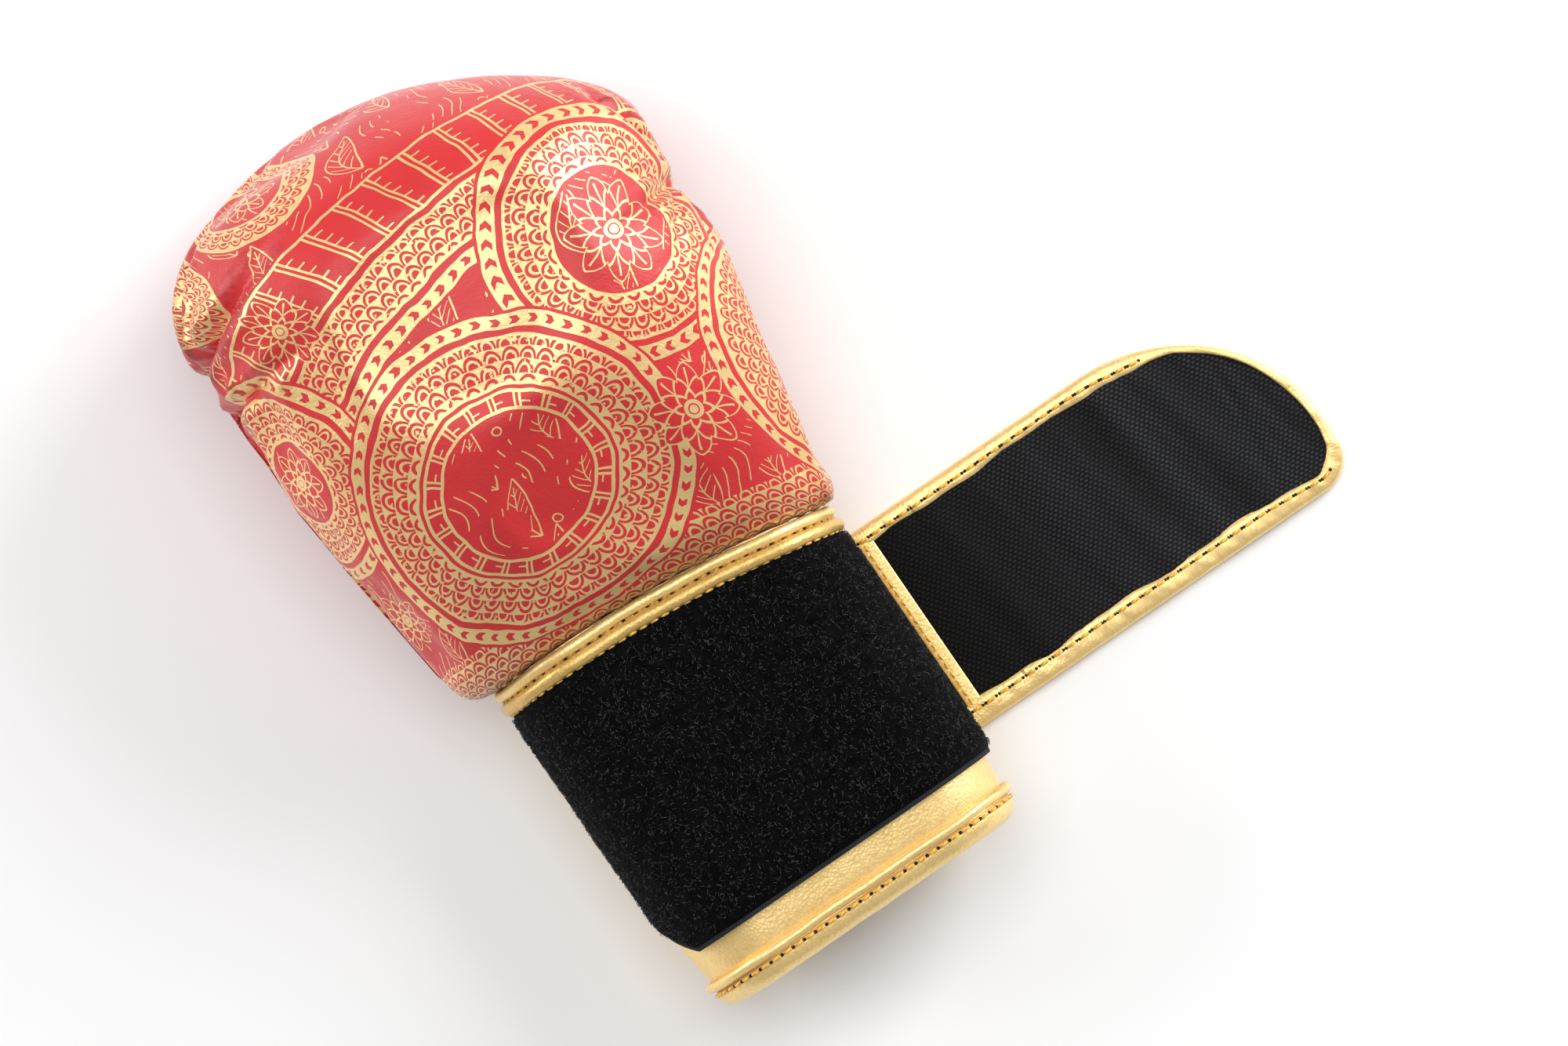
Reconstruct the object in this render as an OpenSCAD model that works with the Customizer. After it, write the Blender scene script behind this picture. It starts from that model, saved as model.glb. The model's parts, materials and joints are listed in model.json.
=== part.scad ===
// Padded boxing glove for the right hand, lying palm down with its wrist strap open.
// X runs across the wrist towards the strap, Y along the hand towards the knuckles, Z up.
// The origin is on the resting plane, below the middle of the strap's wrist band.

/* [Cuff] */
// Half width of the cuff leather across the wrist
cuff_half_w = 58.5; // [54:0.5:62]
// Half length of the flat stretch across the back of the cuff
cuff_flat = 30; // [26:0.5:32]
// Height of the cuff's back above the wrist axis
cuff_up = 28.5; // [26:0.5:29]
// Depth of the cuff's palm side below the wrist axis
cuff_down = 30; // [28:0.5:30.5]
// Distance from the strap's middle to the lower edge of the cuff wall
cuff_reach = 60; // [54:1:66]
// How far the cuff wall draws in on each side at the hem
hem_taper = 3; // [0:0.5:4]
// Thickness of the whole padded cuff wall
cuff_wall = 10.2; // [9:0.2:12]
// Thickness of the leather everywhere
leather_t = 1.6; // [1.2:0.1:2]
// Thickness of the lining cloth
lining_t = 1.2; // [0.8:0.1:1.4]
// Width of the rolled binding at the hem
hem_w = 6.5; // [5:0.5:8]
// Thickness of the loop patch on the cuff
patch_t = 2.2; // [1.5:0.1:2.3]
// Distance from the strap's middle to the lower edge of the loop patch
patch_low = 43.4; // [40:0.2:48]

/* [Welt] */
// Place along Y of the seam between cuff and fist, in the middle of the back
welt_y = 59; // [57:0.5:62]
// How far the seam falls towards the strap side over one half width
welt_slant = 5; // [3:0.5:5.5]
// How far the seam bows at both sides
welt_bow = 4; // [2:0.5:4.5]
// Radius of the narrow roll next to the fist
welt_upper_r = 1.9; // [1.4:0.1:2.2]
// Radius of the wide roll next to the patch
welt_lower_r = 2.1; // [1.6:0.1:2.2]

/* [Fist] */
// Half width of the fist on the strap side
fist_right = 82.5; // [78:0.5:86]
// Half width of the fist on the thumb side
fist_left = 80.5; // [77:0.5:84]
// Height of the back of the fist above the resting plane
fist_top = 118; // [112:1:124]
// Place along Y where the round front begins
dome_y = 186; // [180:1:192]
// Length of the round front
dome_len = 56.6; // [50:1:60]
// Height of the widest level of the fist
fist_level = 48; // [46:1:52]
// Sideways drift of the front towards the thumb
front_drift = 15; // [0:1:18]
// Place along Y of the crease between the palm and the curled fingers
crease_y = 140; // [136:1:144]
// Depth of that crease
crease_depth = 14; // [8:1:15]
// Half width of the hand compartment
hand_half_w = 45.5; // [42:0.5:46.5]
// Half height of the hand compartment
hand_half_h = 19; // [17:0.5:20]
// How far the hand compartment rises towards the knuckles
hand_rise = 12; // [8:1:14]

/* [Thumb] */
// Radius of the thumb at its widest
thumb_r = 16.5; // [13:0.5:16.5]
// Length of the thumb
thumb_len = 103; // [96:1:105]
// Radius of the thumb stall inside
thumb_hollow_r = 9.5; // [7:0.5:10]
// Radius of the grip bar that the fingers close on
grip_r = 8; // [6:0.5:9]
// Length of the grip bar
grip_len = 50; // [40:1:52]

/* [Strap] */
// Width of the strap
strap_w = 75.2; // [70:0.4:76]
// Thickness of the strap
strap_t = 4; // [3.6:0.1:4]
// Radius of the wrap that the open strap closes round
wrap_r = 31.5; // [31.4:0.1:32]
// Distance of the strap's tip from the wrist's middle
strap_tip = 208.5; // [190:0.5:215]
// Width of the leather binding on the finger side
bind_upper = 4.5; // [4:0.5:6]
// Width of the leather binding on the hem side
bind_lower = 6.5; // [5:0.5:8]

/* [Hidden] */
$fn = 48;

RED = [0.74, 0.14, 0.18];
GOLD = [0.80, 0.62, 0.32];
BLACK = [0.06, 0.06, 0.07];
FOAM = [0.90, 0.87, 0.76];
CLOTH = [0.16, 0.16, 0.18];

fit = 0.2;
seam = 0.5;
axis_z = strap_t + wrap_r;
side_r = cuff_half_w - cuff_flat;
hand_end = dome_y + 2;
fold_step = 2 * wrap_r * tan(22.5);
fold_x = [for (k = [0:3]) cuff_flat + wrap_r * tan(22.5) + k * fold_step];
fold_gap = 0.6;

// ---------- general shapes ----------

function clamp01(t) = min(max(t, 0), 1);
function smooth(t) = let (u = clamp01(t)) u * u * (3 - 2 * u);
function ease(t, p) = 1 - pow(1 - clamp01(t), p);
function signed_pow(a, p) = sign(a) * pow(abs(a), p);
function joined(lists) = [for (l = lists) each l];
function quad(a, b, c, d) = [[a, b, c], [a, c, d]];

// A curved wall between two grids of points. A ring closes on itself round the columns.
module wall(outer, inner, ring = false) {
    rows = len(outer);
    cols = len(outer[0]);
    last = ring ? cols - 1 : cols - 2;
    at = function (r, c, side) side * rows * cols + r * cols + c % cols;
    faces = [for (r = [0:rows - 2], c = [0:last]) each concat(
        quad(at(r, c, 0), at(r, c + 1, 0), at(r + 1, c + 1, 0), at(r + 1, c, 0)),
        quad(at(r, c, 1), at(r + 1, c, 1), at(r + 1, c + 1, 1), at(r, c + 1, 1)))];
    ends = [for (c = [0:last]) each concat(
        quad(at(0, c, 0), at(0, c, 1), at(0, c + 1, 1), at(0, c + 1, 0)),
        quad(at(rows - 1, c, 0), at(rows - 1, c + 1, 0), at(rows - 1, c + 1, 1), at(rows - 1, c, 1)))];
    sides = ring ? [] : [for (r = [0:rows - 2]) each concat(
        quad(at(r, 0, 0), at(r + 1, 0, 0), at(r + 1, 0, 1), at(r, 0, 1)),
        quad(at(r, cols - 1, 0), at(r, cols - 1, 1), at(r + 1, cols - 1, 1), at(r + 1, cols - 1, 0)))];
    polyhedron(concat(joined(outer), joined(inner)), concat(faces, ends, sides), convexity = 8);
}

// A solid through a list of rings, with a flat fan at each end.
module loft(rings) {
    rows = len(rings);
    cols = len(rings[0]);
    first = rows * cols;
    centre = function (ring) [for (k = [0:2]) [for (p = ring) p[k]] * [for (p = ring) 1] / len(ring)];
    at = function (r, c) r * cols + c % cols;
    body = [for (r = [0:rows - 2], c = [0:cols - 1]) each
        quad(at(r, c), at(r, c + 1), at(r + 1, c + 1), at(r + 1, c))];
    caps = [for (c = [0:cols - 1]) each [[first, at(0, c + 1), at(0, c)],
        [first + 1, at(rows - 1, c), at(rows - 1, c + 1)]]];
    polyhedron(concat(joined(rings), [centre(rings[0]), centre(rings[rows - 1])]), concat(body, caps));
}

// ---------- cuff geometry ----------

// The seam line between cuff and fist, as a height along Y for a place across the wrist.
function welt_line(x) = let (u = x / cuff_half_w) -welt_slant * u - welt_bow * u * u;

// Stations round the cuff: the middle of the local arc, and the angle on it. They start
// at one side of the palm slit and end at its other side.
arc_steps = 10;
flat_steps = 6;
slit_x = -11;
slit_w = 6;
palm_right = slit_x + slit_w / 2;
palm_left = slit_x - slit_w / 2;
cuff_stations = concat(
    [for (k = [0:2]) [palm_right + (cuff_flat - palm_right) * k / 3, -90]],
    [for (k = [0:arc_steps]) [cuff_flat, -90 + 180 * k / arc_steps]],
    [for (k = [1:flat_steps - 1]) [cuff_flat * (1 - 2 * k / flat_steps), 90]],
    [for (k = [0:arc_steps]) [-cuff_flat, 90 + 180 * k / arc_steps]],
    [[palm_left, 270]]);

// A point of the cuff: inset from the leather's outside, y along the hand, and the share
// of the seam line's shape that y takes on.
function cuff_point(st, inset, y, share) =
    let (x = st[0] + (side_r - inset) * cos(st[1]),
         half_h = sin(st[1]) > 0 ? cuff_up : cuff_down)
    [x, y + share * welt_line(x), axis_z + (half_h - inset) * sin(st[1])];

// A closed band round the wrist whose profile is a loop of [inset, y, share].
module band(profile, stations = cuff_stations, ring = false) {
    n = len(profile);
    rings = [for (st = stations) [for (p = profile) cuff_point(st, p[0], p[1], p[2])]];
    cols = len(rings);
    at = function (i, k) (i % cols) * n + k % n;
    last = ring ? cols - 1 : cols - 2;
    skin = [for (i = [0:last], k = [0:n - 1]) each
        quad(at(i, k), at(i, k + 1), at(i + 1, k + 1), at(i + 1, k))];
    ends = ring ? [] : [[for (k = [0:n - 1]) at(0, n - 1 - k)], [for (k = [0:n - 1]) at(cols - 1, k)]];
    polyhedron(joined(rings), concat(skin, ends), convexity = 8);
}

// The wall draws in below this place, down to the hem.
taper_y = -35;
function taper(y) = hem_taper * clamp01((taper_y - y) / (taper_y + cuff_reach));

function box_profile(inset_a, inset_b, y_low, y_high, share = 1) =
    [[inset_b + taper(y_low), y_low, 0], [inset_b, taper_y, 0], [inset_b, y_high, share],
     [inset_a, y_high, share], [inset_a, taper_y, 0], [inset_a + taper(y_low), y_low, 0]];

function round_profile(inset, y, r, share, sides = 10) =
    [for (k = [0:sides - 1]) let (a = -360 * k / sides) [inset - r * cos(a), y + r * sin(a), share]];

module cuff_leather() {
    color(GOLD) band(box_profile(0, leather_t, -cuff_reach, welt_y));
}

module cuff_pad() {
    color(FOAM) band(box_profile(leather_t + fit, cuff_wall - lining_t - fit, -cuff_reach, welt_y));
}

module cuff_lining() {
    color(CLOTH) band(box_profile(cuff_wall - lining_t, cuff_wall, -cuff_reach, welt_y), ring = true);
}

// A strip of elastic cloth that closes the slit on the palm side, drawn as its side view.
gusset_inset = 2;
gusset_t = 2;
module wrist_gusset() {
    z = axis_z - cuff_down + gusset_inset;
    high = welt_y - fit;
    side = [[-cuff_reach, z + hem_taper], [taper_y, z], [high, z],
            [high, z + gusset_t], [taper_y, z + gusset_t], [-cuff_reach, z + gusset_t + hem_taper]];
    color(CLOTH) translate([palm_left + fit, 0, 0]) rotate([90, 0, 90])
        linear_extrude(slit_w - 2 * fit) polygon(side);
}

// The binding is a leather roll over the end of the cuff wall, a lip wider than the wall.
hem_lip = 0.6;
module hem_binding() {
    steps = 8;
    edge = -cuff_reach - 2 * fit;
    depth = hem_w - 1;
    half = cuff_wall / 2;
    profile = [for (k = [0:steps]) let (a = 180 * k / steps)
        [hem_taper + half - (half + hem_lip) * cos(a), edge - depth * sin(a), 0]];
    color(GOLD) band(profile);
}

module hem_piping() {
    r = 1.5;
    y = 2 * r - cuff_reach;
    color(GOLD) band(round_profile(taper(y + r) - r - fit, y, r, 0));
}

module loop_patch() {
    dip = 25;
    covered = [for (st = cuff_stations) if (st[1] >= -dip && st[1] <= 180 + dip) st];
    high = welt_y - 2 * (welt_upper_r + welt_lower_r) - 3 * fit - seam;
    color(BLACK) band(box_profile(-fit - patch_t, -fit, -patch_low, high), covered);
}

module welt_upper() {
    y = welt_y - welt_upper_r - fit;
    color(GOLD) band(round_profile(-welt_upper_r - fit, y, welt_upper_r, 1), ring = true);
}

module welt_lower() {
    y = welt_y - 2 * welt_upper_r - welt_lower_r - 2 * fit - seam;
    color(GOLD * 0.85) band(round_profile(-welt_lower_r - fit, y, welt_lower_r, 1), ring = true);
}

// ---------- fist geometry ----------

// A station s runs from 0 at the seam with the cuff, through 1 where the round front
// begins, to 2 at the foremost point.
start_y = welt_y + fit;
function station_y(s) = s <= 1 ? start_y + s * (dome_y - start_y)
    : dome_y + dome_len * sin(90 * (s - 1));
function shrink(s) = s <= 1 ? 1 : cos(90 * (s - 1));
function station_at(y) = (y - start_y) / (dome_y - start_y);

// The padding stands out of the seam in a tight round corner and then swells slowly.
seam_w = 60;
seam_top = 66;
swell_s = 0.62;
right_corner = 8;
left_corner = 12;
top_corner = 12;
function corner(s) = let (t = clamp01(s / 0.09)) sqrt(t * (2 - t));
function right_w(s) = seam_w + right_corner * corner(s)
    + (fist_right - seam_w - right_corner) * ease((s - 0.07) / swell_s, 1.4);
function left_w(s) = seam_w + left_corner * corner(s)
    + (fist_left - seam_w - left_corner) * clamp01((s - 0.05) / swell_s);
function top_z(s) = seam_top + top_corner * corner(s)
    + (fist_top - seam_top - top_corner) * ease((s - 0.03) / 0.75, 2);

// The widest level climbs from the wrist's axis and drops again over the round front.
front_drop = 10;
function level_z(s) = s <= 1 ? axis_z + (fist_level - axis_z) * smooth(2 * s)
    : fist_level - front_drop * smooth(s - 1);

// The thumb lies in a bay of the palm's left side, which fades out at both ends.
bay_start = 57;
bay_end = 184;
bay_fade_in = 20;
bay_fade_out = 25;
bay_depth = 20;
function thumb_bay(y) = smooth((y - bay_start) / bay_fade_in) * (1 - smooth((y - bay_end) / bay_fade_out));

// The underside clears the resting plane at the palm and touches it at the curled fingers.
crease_w = 10;
palm_clear = 3;
seam_clear = 1.5;
function crease(y) = crease_depth * exp(-pow((y - crease_y) / crease_w, 2));
function low_z(s) = let (y = station_y(s)) palm_clear * (1 - smooth((y - 90) / 60)) + crease(y)
    + seam_clear * (1 - clamp01(s / 0.15));

// The seam line's shape fades out along the fist.
function seam_shift(x, s) = welt_line(max(min(x, seam_w + 2), -seam_w - 2)) * (1 - smooth(2.2 * s));

// A point of the fist's skin at station s and angle a round the hand.
function skin_point(s, a) =
    let (k = shrink(s),
         y = station_y(s),
         bay = thumb_bay(y),
         cx = -front_drift * smooth((y - dome_y) / (0.9 * dome_len)),
         c = cos(a),
         q = sin(a),
         left = c < 0,
         n = q > 0 ? 2.5 : left ? 2.3 - 1.5 * bay : 2.3,
         base = q < 0 ? -bay_depth * bay : 0,
         reach = left ? left_w(s) + base : right_w(s) - base,
         x = cx + k * (base + reach * signed_pow(c, 2 / n)),
         h = q < 0 ? level_z(s) - low_z(s) : top_z(s) - level_z(s),
         z = level_z(s) + k * h * signed_pow(q, 2 / n))
    [x, y + seam_shift(x, s), z];

// The same point set in by a distance square to the skin.
function fist_point(s, a, inset) =
    let (along = skin_point(min(s + 0.01, 1.999), a) - skin_point(s - 0.01, a),
         around = skin_point(s, a + 2) - skin_point(s, a - 2),
         out = cross(around, along))
    skin_point(s, a) + inset * out / norm(out);

// The hand compartment rises towards the knuckles: the same stations and angles on a smaller flat tube.
function hand_point(s, a, inset) =
    let (y = start_y + s * (hand_end - start_y),
         n = 2.6,
         w = hand_half_w - 3 * s - inset,
         h = hand_half_h - inset,
         x = 3 * smooth(3 * s) + w * signed_pow(cos(a), 2 / n))
    [x, y + seam_shift(x, s),
        axis_z + hand_rise * smooth(1.5 * s) + h * signed_pow(sin(a), 2 / n)];

side_a = 30;
function angles(a0, a1, n) = [for (k = [0:n]) a0 + (a1 - a0) * k / n];
function stations(s0, s1, n) = [for (k = [0:n]) s0 + (s1 - s0) * k / n];
function skin(list, span, inset) = [for (s = list) [for (a = span) fist_point(s, a, inset)]];
function hand_wall(list, span, inset) =
    [for (s = list) [for (a = span) hand_point(s * (dome_y - start_y) / (hand_end - start_y), a, inset)]];

over_hand = angles(-side_a + 0.2, 180 + side_a - 0.2, 26);
under_hand = angles(180 + side_a + 0.2, 360 - side_a - 0.2, 14);
tip_s = 1.97;
split_s = station_at(crease_y + 4);
split_gap = seam / (dome_y - start_y);
body_list = stations(0.14, split_s, 11);
palm_list = concat([0, 0.01, 0.03, 0.055, 0.09], body_list);
front_list = concat(stations(split_s + split_gap, 1, 6), stations(1.08, tip_s, 10));

module back_leather() {
    list = concat(palm_list, front_list);
    color(RED) wall(skin(list, over_hand, 0), skin(list, over_hand, leather_t));
}

module palm_leather() {
    color(RED) wall(skin(palm_list, under_hand, 0), skin(palm_list, under_hand, leather_t));
}

module finger_leather() {
    color(RED) wall(skin(front_list, under_hand, 0), skin(front_list, under_hand, leather_t));
}

module padding(list, span) {
    color(FOAM) wall(skin(list, span, leather_t + seam), hand_wall(list, span, -lining_t - seam));
}

back_list = concat([0.02, 0.04, 0.06, 0.09], body_list);
fold_list = stations(split_s + split_gap, 1, 6);
module back_pad() padding(back_list, over_hand);
module knuckle_pad() padding(fold_list, over_hand);
module palm_pad() padding(back_list, under_hand);
module finger_pad() padding(fold_list, under_hand);

// The block of foam in front of the fingers.
module front_pad() {
    list = stations(1.045, tip_s, 12);
    round_hand = [for (k = [0:39]) 360 * k / 40];
    color(FOAM) loft(skin(list, round_hand, leather_t + seam));
}

module hand_lining() {
    list = stations(0, 1, 8);
    round_hand = [for (k = [0:39]) 360 * k / 40];
    color(CLOTH) wall(
        [for (s = list) [for (a = round_hand) hand_point(s, a, -lining_t)]],
        [for (s = list) [for (a = round_hand) hand_point(s, a, 0)]], true);
}

// ---------- grip, thumb ----------

grip_y = 152;
grip_z = hand_point((grip_y - start_y) / (hand_end - start_y), 270, 0)[2] + grip_r + 2;
module grip_bar() {
    color(CLOTH) translate([0, grip_y, grip_z]) rotate([0, 90, 0]) {
        cylinder(r = grip_r, h = grip_len - 2 * grip_r, center = true);
        for (side = [-1, 1]) translate([0, 0, side * (grip_len / 2 - grip_r)]) sphere(r = grip_r);
    }
}

// The thumb is a bent tube beside the palm, closed round at its tip.
thumb_y = 90;
thumb_x = -57.7;
thumb_bow = 5;
function thumb_mid(t) = [thumb_x - thumb_bow * sin(120 * t), thumb_y + thumb_len * t, thumb_r + 1];
function thumb_width(t) = (0.86 + 0.14 * sin(180 * t)) * sqrt(1 - pow(clamp01((t - 0.84) / 0.16), 2));
function thumb_ring(t, r) = let (m = thumb_mid(t), w = r * thumb_width(t))
    [for (k = [0:19]) let (a = 18 * k) m + [w * cos(a), 0, w * sin(a)]];
thumb_list = [0, 0.12, 0.24, 0.36, 0.48, 0.6, 0.72, 0.84, 0.9, 0.95, 0.98, 0.995];
thumb_core = thumb_hollow_r / (thumb_r - leather_t - fit);

module thumb_leather() {
    outer = [for (t = thumb_list) thumb_ring(t, thumb_r)];
    inner = [for (t = thumb_list) thumb_ring(t * 0.985, thumb_r - leather_t)];
    color(RED) wall(outer, inner, true);
}

module thumb_pad() {
    r = thumb_r - leather_t - fit;
    outer = [for (t = thumb_list) thumb_ring(t * 0.983, r)];
    inner = [for (t = thumb_list) thumb_ring(t * 0.9, r * thumb_core)];
    color(FOAM) wall(outer, inner, true);
}

// The tab that ties the thumb to the curled fingers is sewn into both leathers.
lock_left = -48.3;
lock_right = -29.8;
lock_y = 156;
lock_w = 16;
lock_z = 12.5;
lock_t = 3;
module thumb_lock() {
    color(RED) translate([lock_left, lock_y, lock_z]) cube([lock_right - lock_left, lock_w, lock_t]);
}

// ---------- strap ----------

half_strap = strap_w / 2;
panel_low = 0.8;
hook_low = 2.3;
panel_high = strap_t - 0.5;
tuck = 2.5;

// The strap's end: a wide round corner on the finger side and a tight one on the hem side.
tip_round_x = 58.5;
tip_mid_y = -15;
tip_corner = 12;
function tip_outline(x0, inset) =
    let (a = tip_round_x - inset,
         b = half_strap - tip_mid_y - inset,
         cx = strap_tip - tip_round_x,
         r = tip_corner - inset * 0.8,
         low = [strap_tip - inset - r, inset + r - half_strap])
    concat([[x0, inset - half_strap]],
           [for (k = [0:8]) low + r * [cos(-90 + 11.25 * k), sin(-90 + 11.25 * k)]],
           [for (k = [0:18]) [cx + a * cos(5 * k), tip_mid_y + b * sin(5 * k)]],
           [[x0, half_strap - inset]]);

// The plain stretch of the strap between two fold lines, set in from both edges.
module strap_panel(k, z0, z1) {
    x0 = fold_x[k] + fold_gap / 2;
    if (k < 3) {
        x1 = fold_x[k + 1] - fold_gap / 2;
        translate([x0, bind_lower - tuck - half_strap, z0])
            cube([x1 - x0, strap_w - bind_lower - bind_upper + 2 * tuck, z1 - z0]);
    } else {
        translate([0, 0, z0]) linear_extrude(z1 - z0) polygon(tip_outline(x0, bind_upper - tuck));
    }
}

module strap_leather(k) color(GOLD) strap_panel(k, panel_low, hook_low - fit);
module strap_hook(k) color(BLACK) strap_panel(k, hook_low, panel_high);

// Folded leather over one straight edge of the strap, open towards the panel.
module edge_binding(length, width) {
    difference() {
        union() {
            translate([0, strap_t / 2, 0]) cube([length, width - strap_t / 2, strap_t]);
            translate([0, strap_t / 2, strap_t / 2]) rotate([0, 90, 0]) cylinder(r = strap_t / 2, h = length);
        }
        translate([-1, width - tuck - fit, panel_low - fit])
            cube([length + 2, tuck + 1, panel_high - panel_low + 2 * fit]);
    }
}

module strap_binding(k) {
    x0 = fold_x[k] + fold_gap / 2;
    length = fold_step - fold_gap;
    color(GOLD) if (k < 3) {
        translate([x0, -half_strap, 0]) edge_binding(length, bind_lower);
        translate([x0, half_strap, 0]) mirror([0, 1, 0]) edge_binding(length, bind_upper);
    } else {
        difference() {
            linear_extrude(strap_t) polygon(tip_outline(x0, 0));
            translate([0, 0, -1]) linear_extrude(strap_t + 2) polygon(tip_outline(x0 - 1, bind_upper));
            translate([0, 0, panel_low - fit]) linear_extrude(panel_high - panel_low + 2 * fit)
                polygon(tip_outline(x0 - 1, bind_upper - tuck - fit));
        }
    }
}

// The fixed end of the strap under the palm side of the cuff.
root_x = -34;
module strap_root() {
    color(GOLD) translate([root_x, -half_strap, 0])
        cube([fold_x[0] - fold_gap / 2 - root_x, strap_w, strap_t]);
}

// The square of leather that the strap's fixed end is sewn through.
anchor_w = 18;
anchor_margin = 6;
anchor_z = 1.4;
anchor_t = 2;
module strap_root_patch() {
    color(GOLD) translate([root_x - anchor_w, anchor_margin - half_strap, anchor_z])
        cube([anchor_w - fit, strap_w - 2 * anchor_margin, anchor_t]);
}

module strap_leather_1() strap_leather(0);
module strap_leather_2() strap_leather(1);
module strap_leather_3() strap_leather(2);
module strap_leather_4() strap_leather(3);
module strap_hook_1() strap_hook(0);
module strap_hook_2() strap_hook(1);
module strap_hook_3() strap_hook(2);
module strap_hook_4() strap_hook(3);
module strap_binding_1() strap_binding(0);
module strap_binding_2() strap_binding(1);
module strap_binding_3() strap_binding(2);
module strap_binding_4() strap_binding(3);

back_leather();
palm_leather();
finger_leather();
back_pad();
knuckle_pad();
front_pad();
palm_pad();
finger_pad();
hand_lining();
grip_bar();
thumb_leather();
thumb_pad();
thumb_lock();
cuff_leather();
cuff_pad();
cuff_lining();
wrist_gusset();
hem_binding();
hem_piping();
loop_patch();
welt_upper();
welt_lower();
strap_root();
strap_root_patch();
strap_leather_1();
strap_hook_1();
strap_binding_1();
strap_leather_2();
strap_hook_2();
strap_binding_2();
strap_leather_3();
strap_hook_3();
strap_binding_3();
strap_leather_4();
strap_hook_4();
strap_binding_4();
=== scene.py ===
import json
import math

import bpy
import numpy as np
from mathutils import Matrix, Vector, noise


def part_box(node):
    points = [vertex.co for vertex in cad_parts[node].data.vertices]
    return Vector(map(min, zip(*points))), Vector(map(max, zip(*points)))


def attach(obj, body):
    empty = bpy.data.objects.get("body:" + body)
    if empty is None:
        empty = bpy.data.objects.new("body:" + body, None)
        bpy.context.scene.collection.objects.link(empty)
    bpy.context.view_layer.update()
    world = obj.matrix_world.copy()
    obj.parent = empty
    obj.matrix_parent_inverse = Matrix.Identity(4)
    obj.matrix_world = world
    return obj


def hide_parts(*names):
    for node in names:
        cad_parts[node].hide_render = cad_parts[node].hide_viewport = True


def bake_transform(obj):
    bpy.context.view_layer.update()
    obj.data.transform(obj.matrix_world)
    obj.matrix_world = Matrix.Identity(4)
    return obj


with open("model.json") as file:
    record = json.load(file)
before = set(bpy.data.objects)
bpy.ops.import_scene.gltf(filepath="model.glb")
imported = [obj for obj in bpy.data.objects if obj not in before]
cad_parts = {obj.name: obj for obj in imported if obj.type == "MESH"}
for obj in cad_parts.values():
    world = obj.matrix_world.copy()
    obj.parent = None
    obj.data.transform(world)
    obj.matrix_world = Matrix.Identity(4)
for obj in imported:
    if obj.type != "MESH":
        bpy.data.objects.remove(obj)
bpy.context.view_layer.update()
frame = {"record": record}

# Visual model of a boxing glove. Shapes are worked out in millimetres in the CAD's own frame:
# X across the wrist towards the strap, Y along the hand, Z up.

MM = 0.001
scene = bpy.context.scene


def cad_box(node):
    """A node's lowest and highest corners at rest, in millimetres."""
    low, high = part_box(node)
    return np.array(low) / MM, np.array(high) / MM


def cad_middle(node):
    """A node's middle and half its size at rest, in millimetres."""
    low, high = cad_box(node)
    return (low + high) / 2, (high - low) / 2


# ---------------------------------------------------------------- camera

VIEW_CENTRE = (0.0462, 0.0527)
VIEW_TURN = math.radians(-34.4)
VIEW_HEIGHT = 4.0
VIEW_WIDTH = 0.5
REFERENCE_Z = 0.045
SENSOR = 36.0

camera_data = bpy.data.cameras.new("camera")
camera_data.sensor_width = SENSOR
camera_data.lens = SENSOR * (VIEW_HEIGHT - REFERENCE_Z) / VIEW_WIDTH
camera_data.clip_end = 50
camera = bpy.data.objects.new("camera", camera_data)
camera.location = (*VIEW_CENTRE, VIEW_HEIGHT)
camera.rotation_euler = (0, 0, VIEW_TURN)
scene.collection.objects.link(camera)
scene.camera = camera

# ---------------------------------------------------------------- dimensions

cuff_low, cuff_high = cad_box("cuff_leather")
fist_high = cad_box("back_leather")[1]
root_low, root_high = cad_box("strap_root")
tip_high = cad_box("strap_binding_4")[1]
thumb_low = cad_box("thumb_leather")[0]
hem_low = cad_box("hem_binding")[0]
patch_low = cad_box("loop_patch")[0]
gusset_low, gusset_high = cad_box("wrist_gusset")

LEATHER = 1.6
LINING = 1.2
FIT = 0.2
SEAM = 0.5
CUFF_WALL = 10.2
CUFF_HALF = cuff_high[0]
CUFF_FLAT = 30.0
SIDE_R = CUFF_HALF - CUFF_FLAT
AXIS_Z = 35.5
CUFF_UP = cuff_high[2] - AXIS_Z
CUFF_DOWN = AXIS_Z - cuff_low[2]
CUFF_REACH = -cuff_low[1]
TAPER_Y = -35.0
HEM_TAPER = 3.0
WELT_Y = 59.0
WELT_SLANT = 5.0
WELT_BOW = 4.0
WELT_UPPER_R = 1.9
WELT_LOWER_R = 2.1
WELT_UPPER_Y = WELT_Y - WELT_UPPER_R - FIT
WELT_LOWER_Y = WELT_Y - 2 * WELT_UPPER_R - WELT_LOWER_R - 2 * FIT - SEAM
PIPING_Y = -57.0
HEM_STITCH_Y = -60.1
HEM_Y = -60.0

FIST_TOP = fist_high[2]
FIST_RIGHT = 82.5
FIST_LEFT = 80.5
DOME_Y = 186.0
DOME_LEN = 56.6
FIST_LEVEL = 48.0
FRONT_DRIFT = 15.0
CREASE_Y = 140.0
CREASE_DEPTH = 14.0
CREASE_W = 10.0
HAND_HALF_W = 45.5
HAND_HALF_H = 19.0
HAND_RISE = 12.0
HAND_END = DOME_Y + 2
START_Y = WELT_Y + FIT
SEAM_W = 60.0
SEAM_TOP = 66.0
SIDE_A = 30.0
TIP_S = 1.985
CLOSE_S = 1.998
SPLIT_S = (CREASE_Y + 4 - START_Y) / (DOME_Y - START_Y)
CORNER_S = 0.09
# How far the skin steps out at once beyond its seam with the cuff.
STEP_RIGHT, STEP_LEFT, STEP_TOP = 8, 12, 12
THUMB_BAY = 20
ROUND_TOP, ROUND_UNDER = 2.5, 2.3

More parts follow.
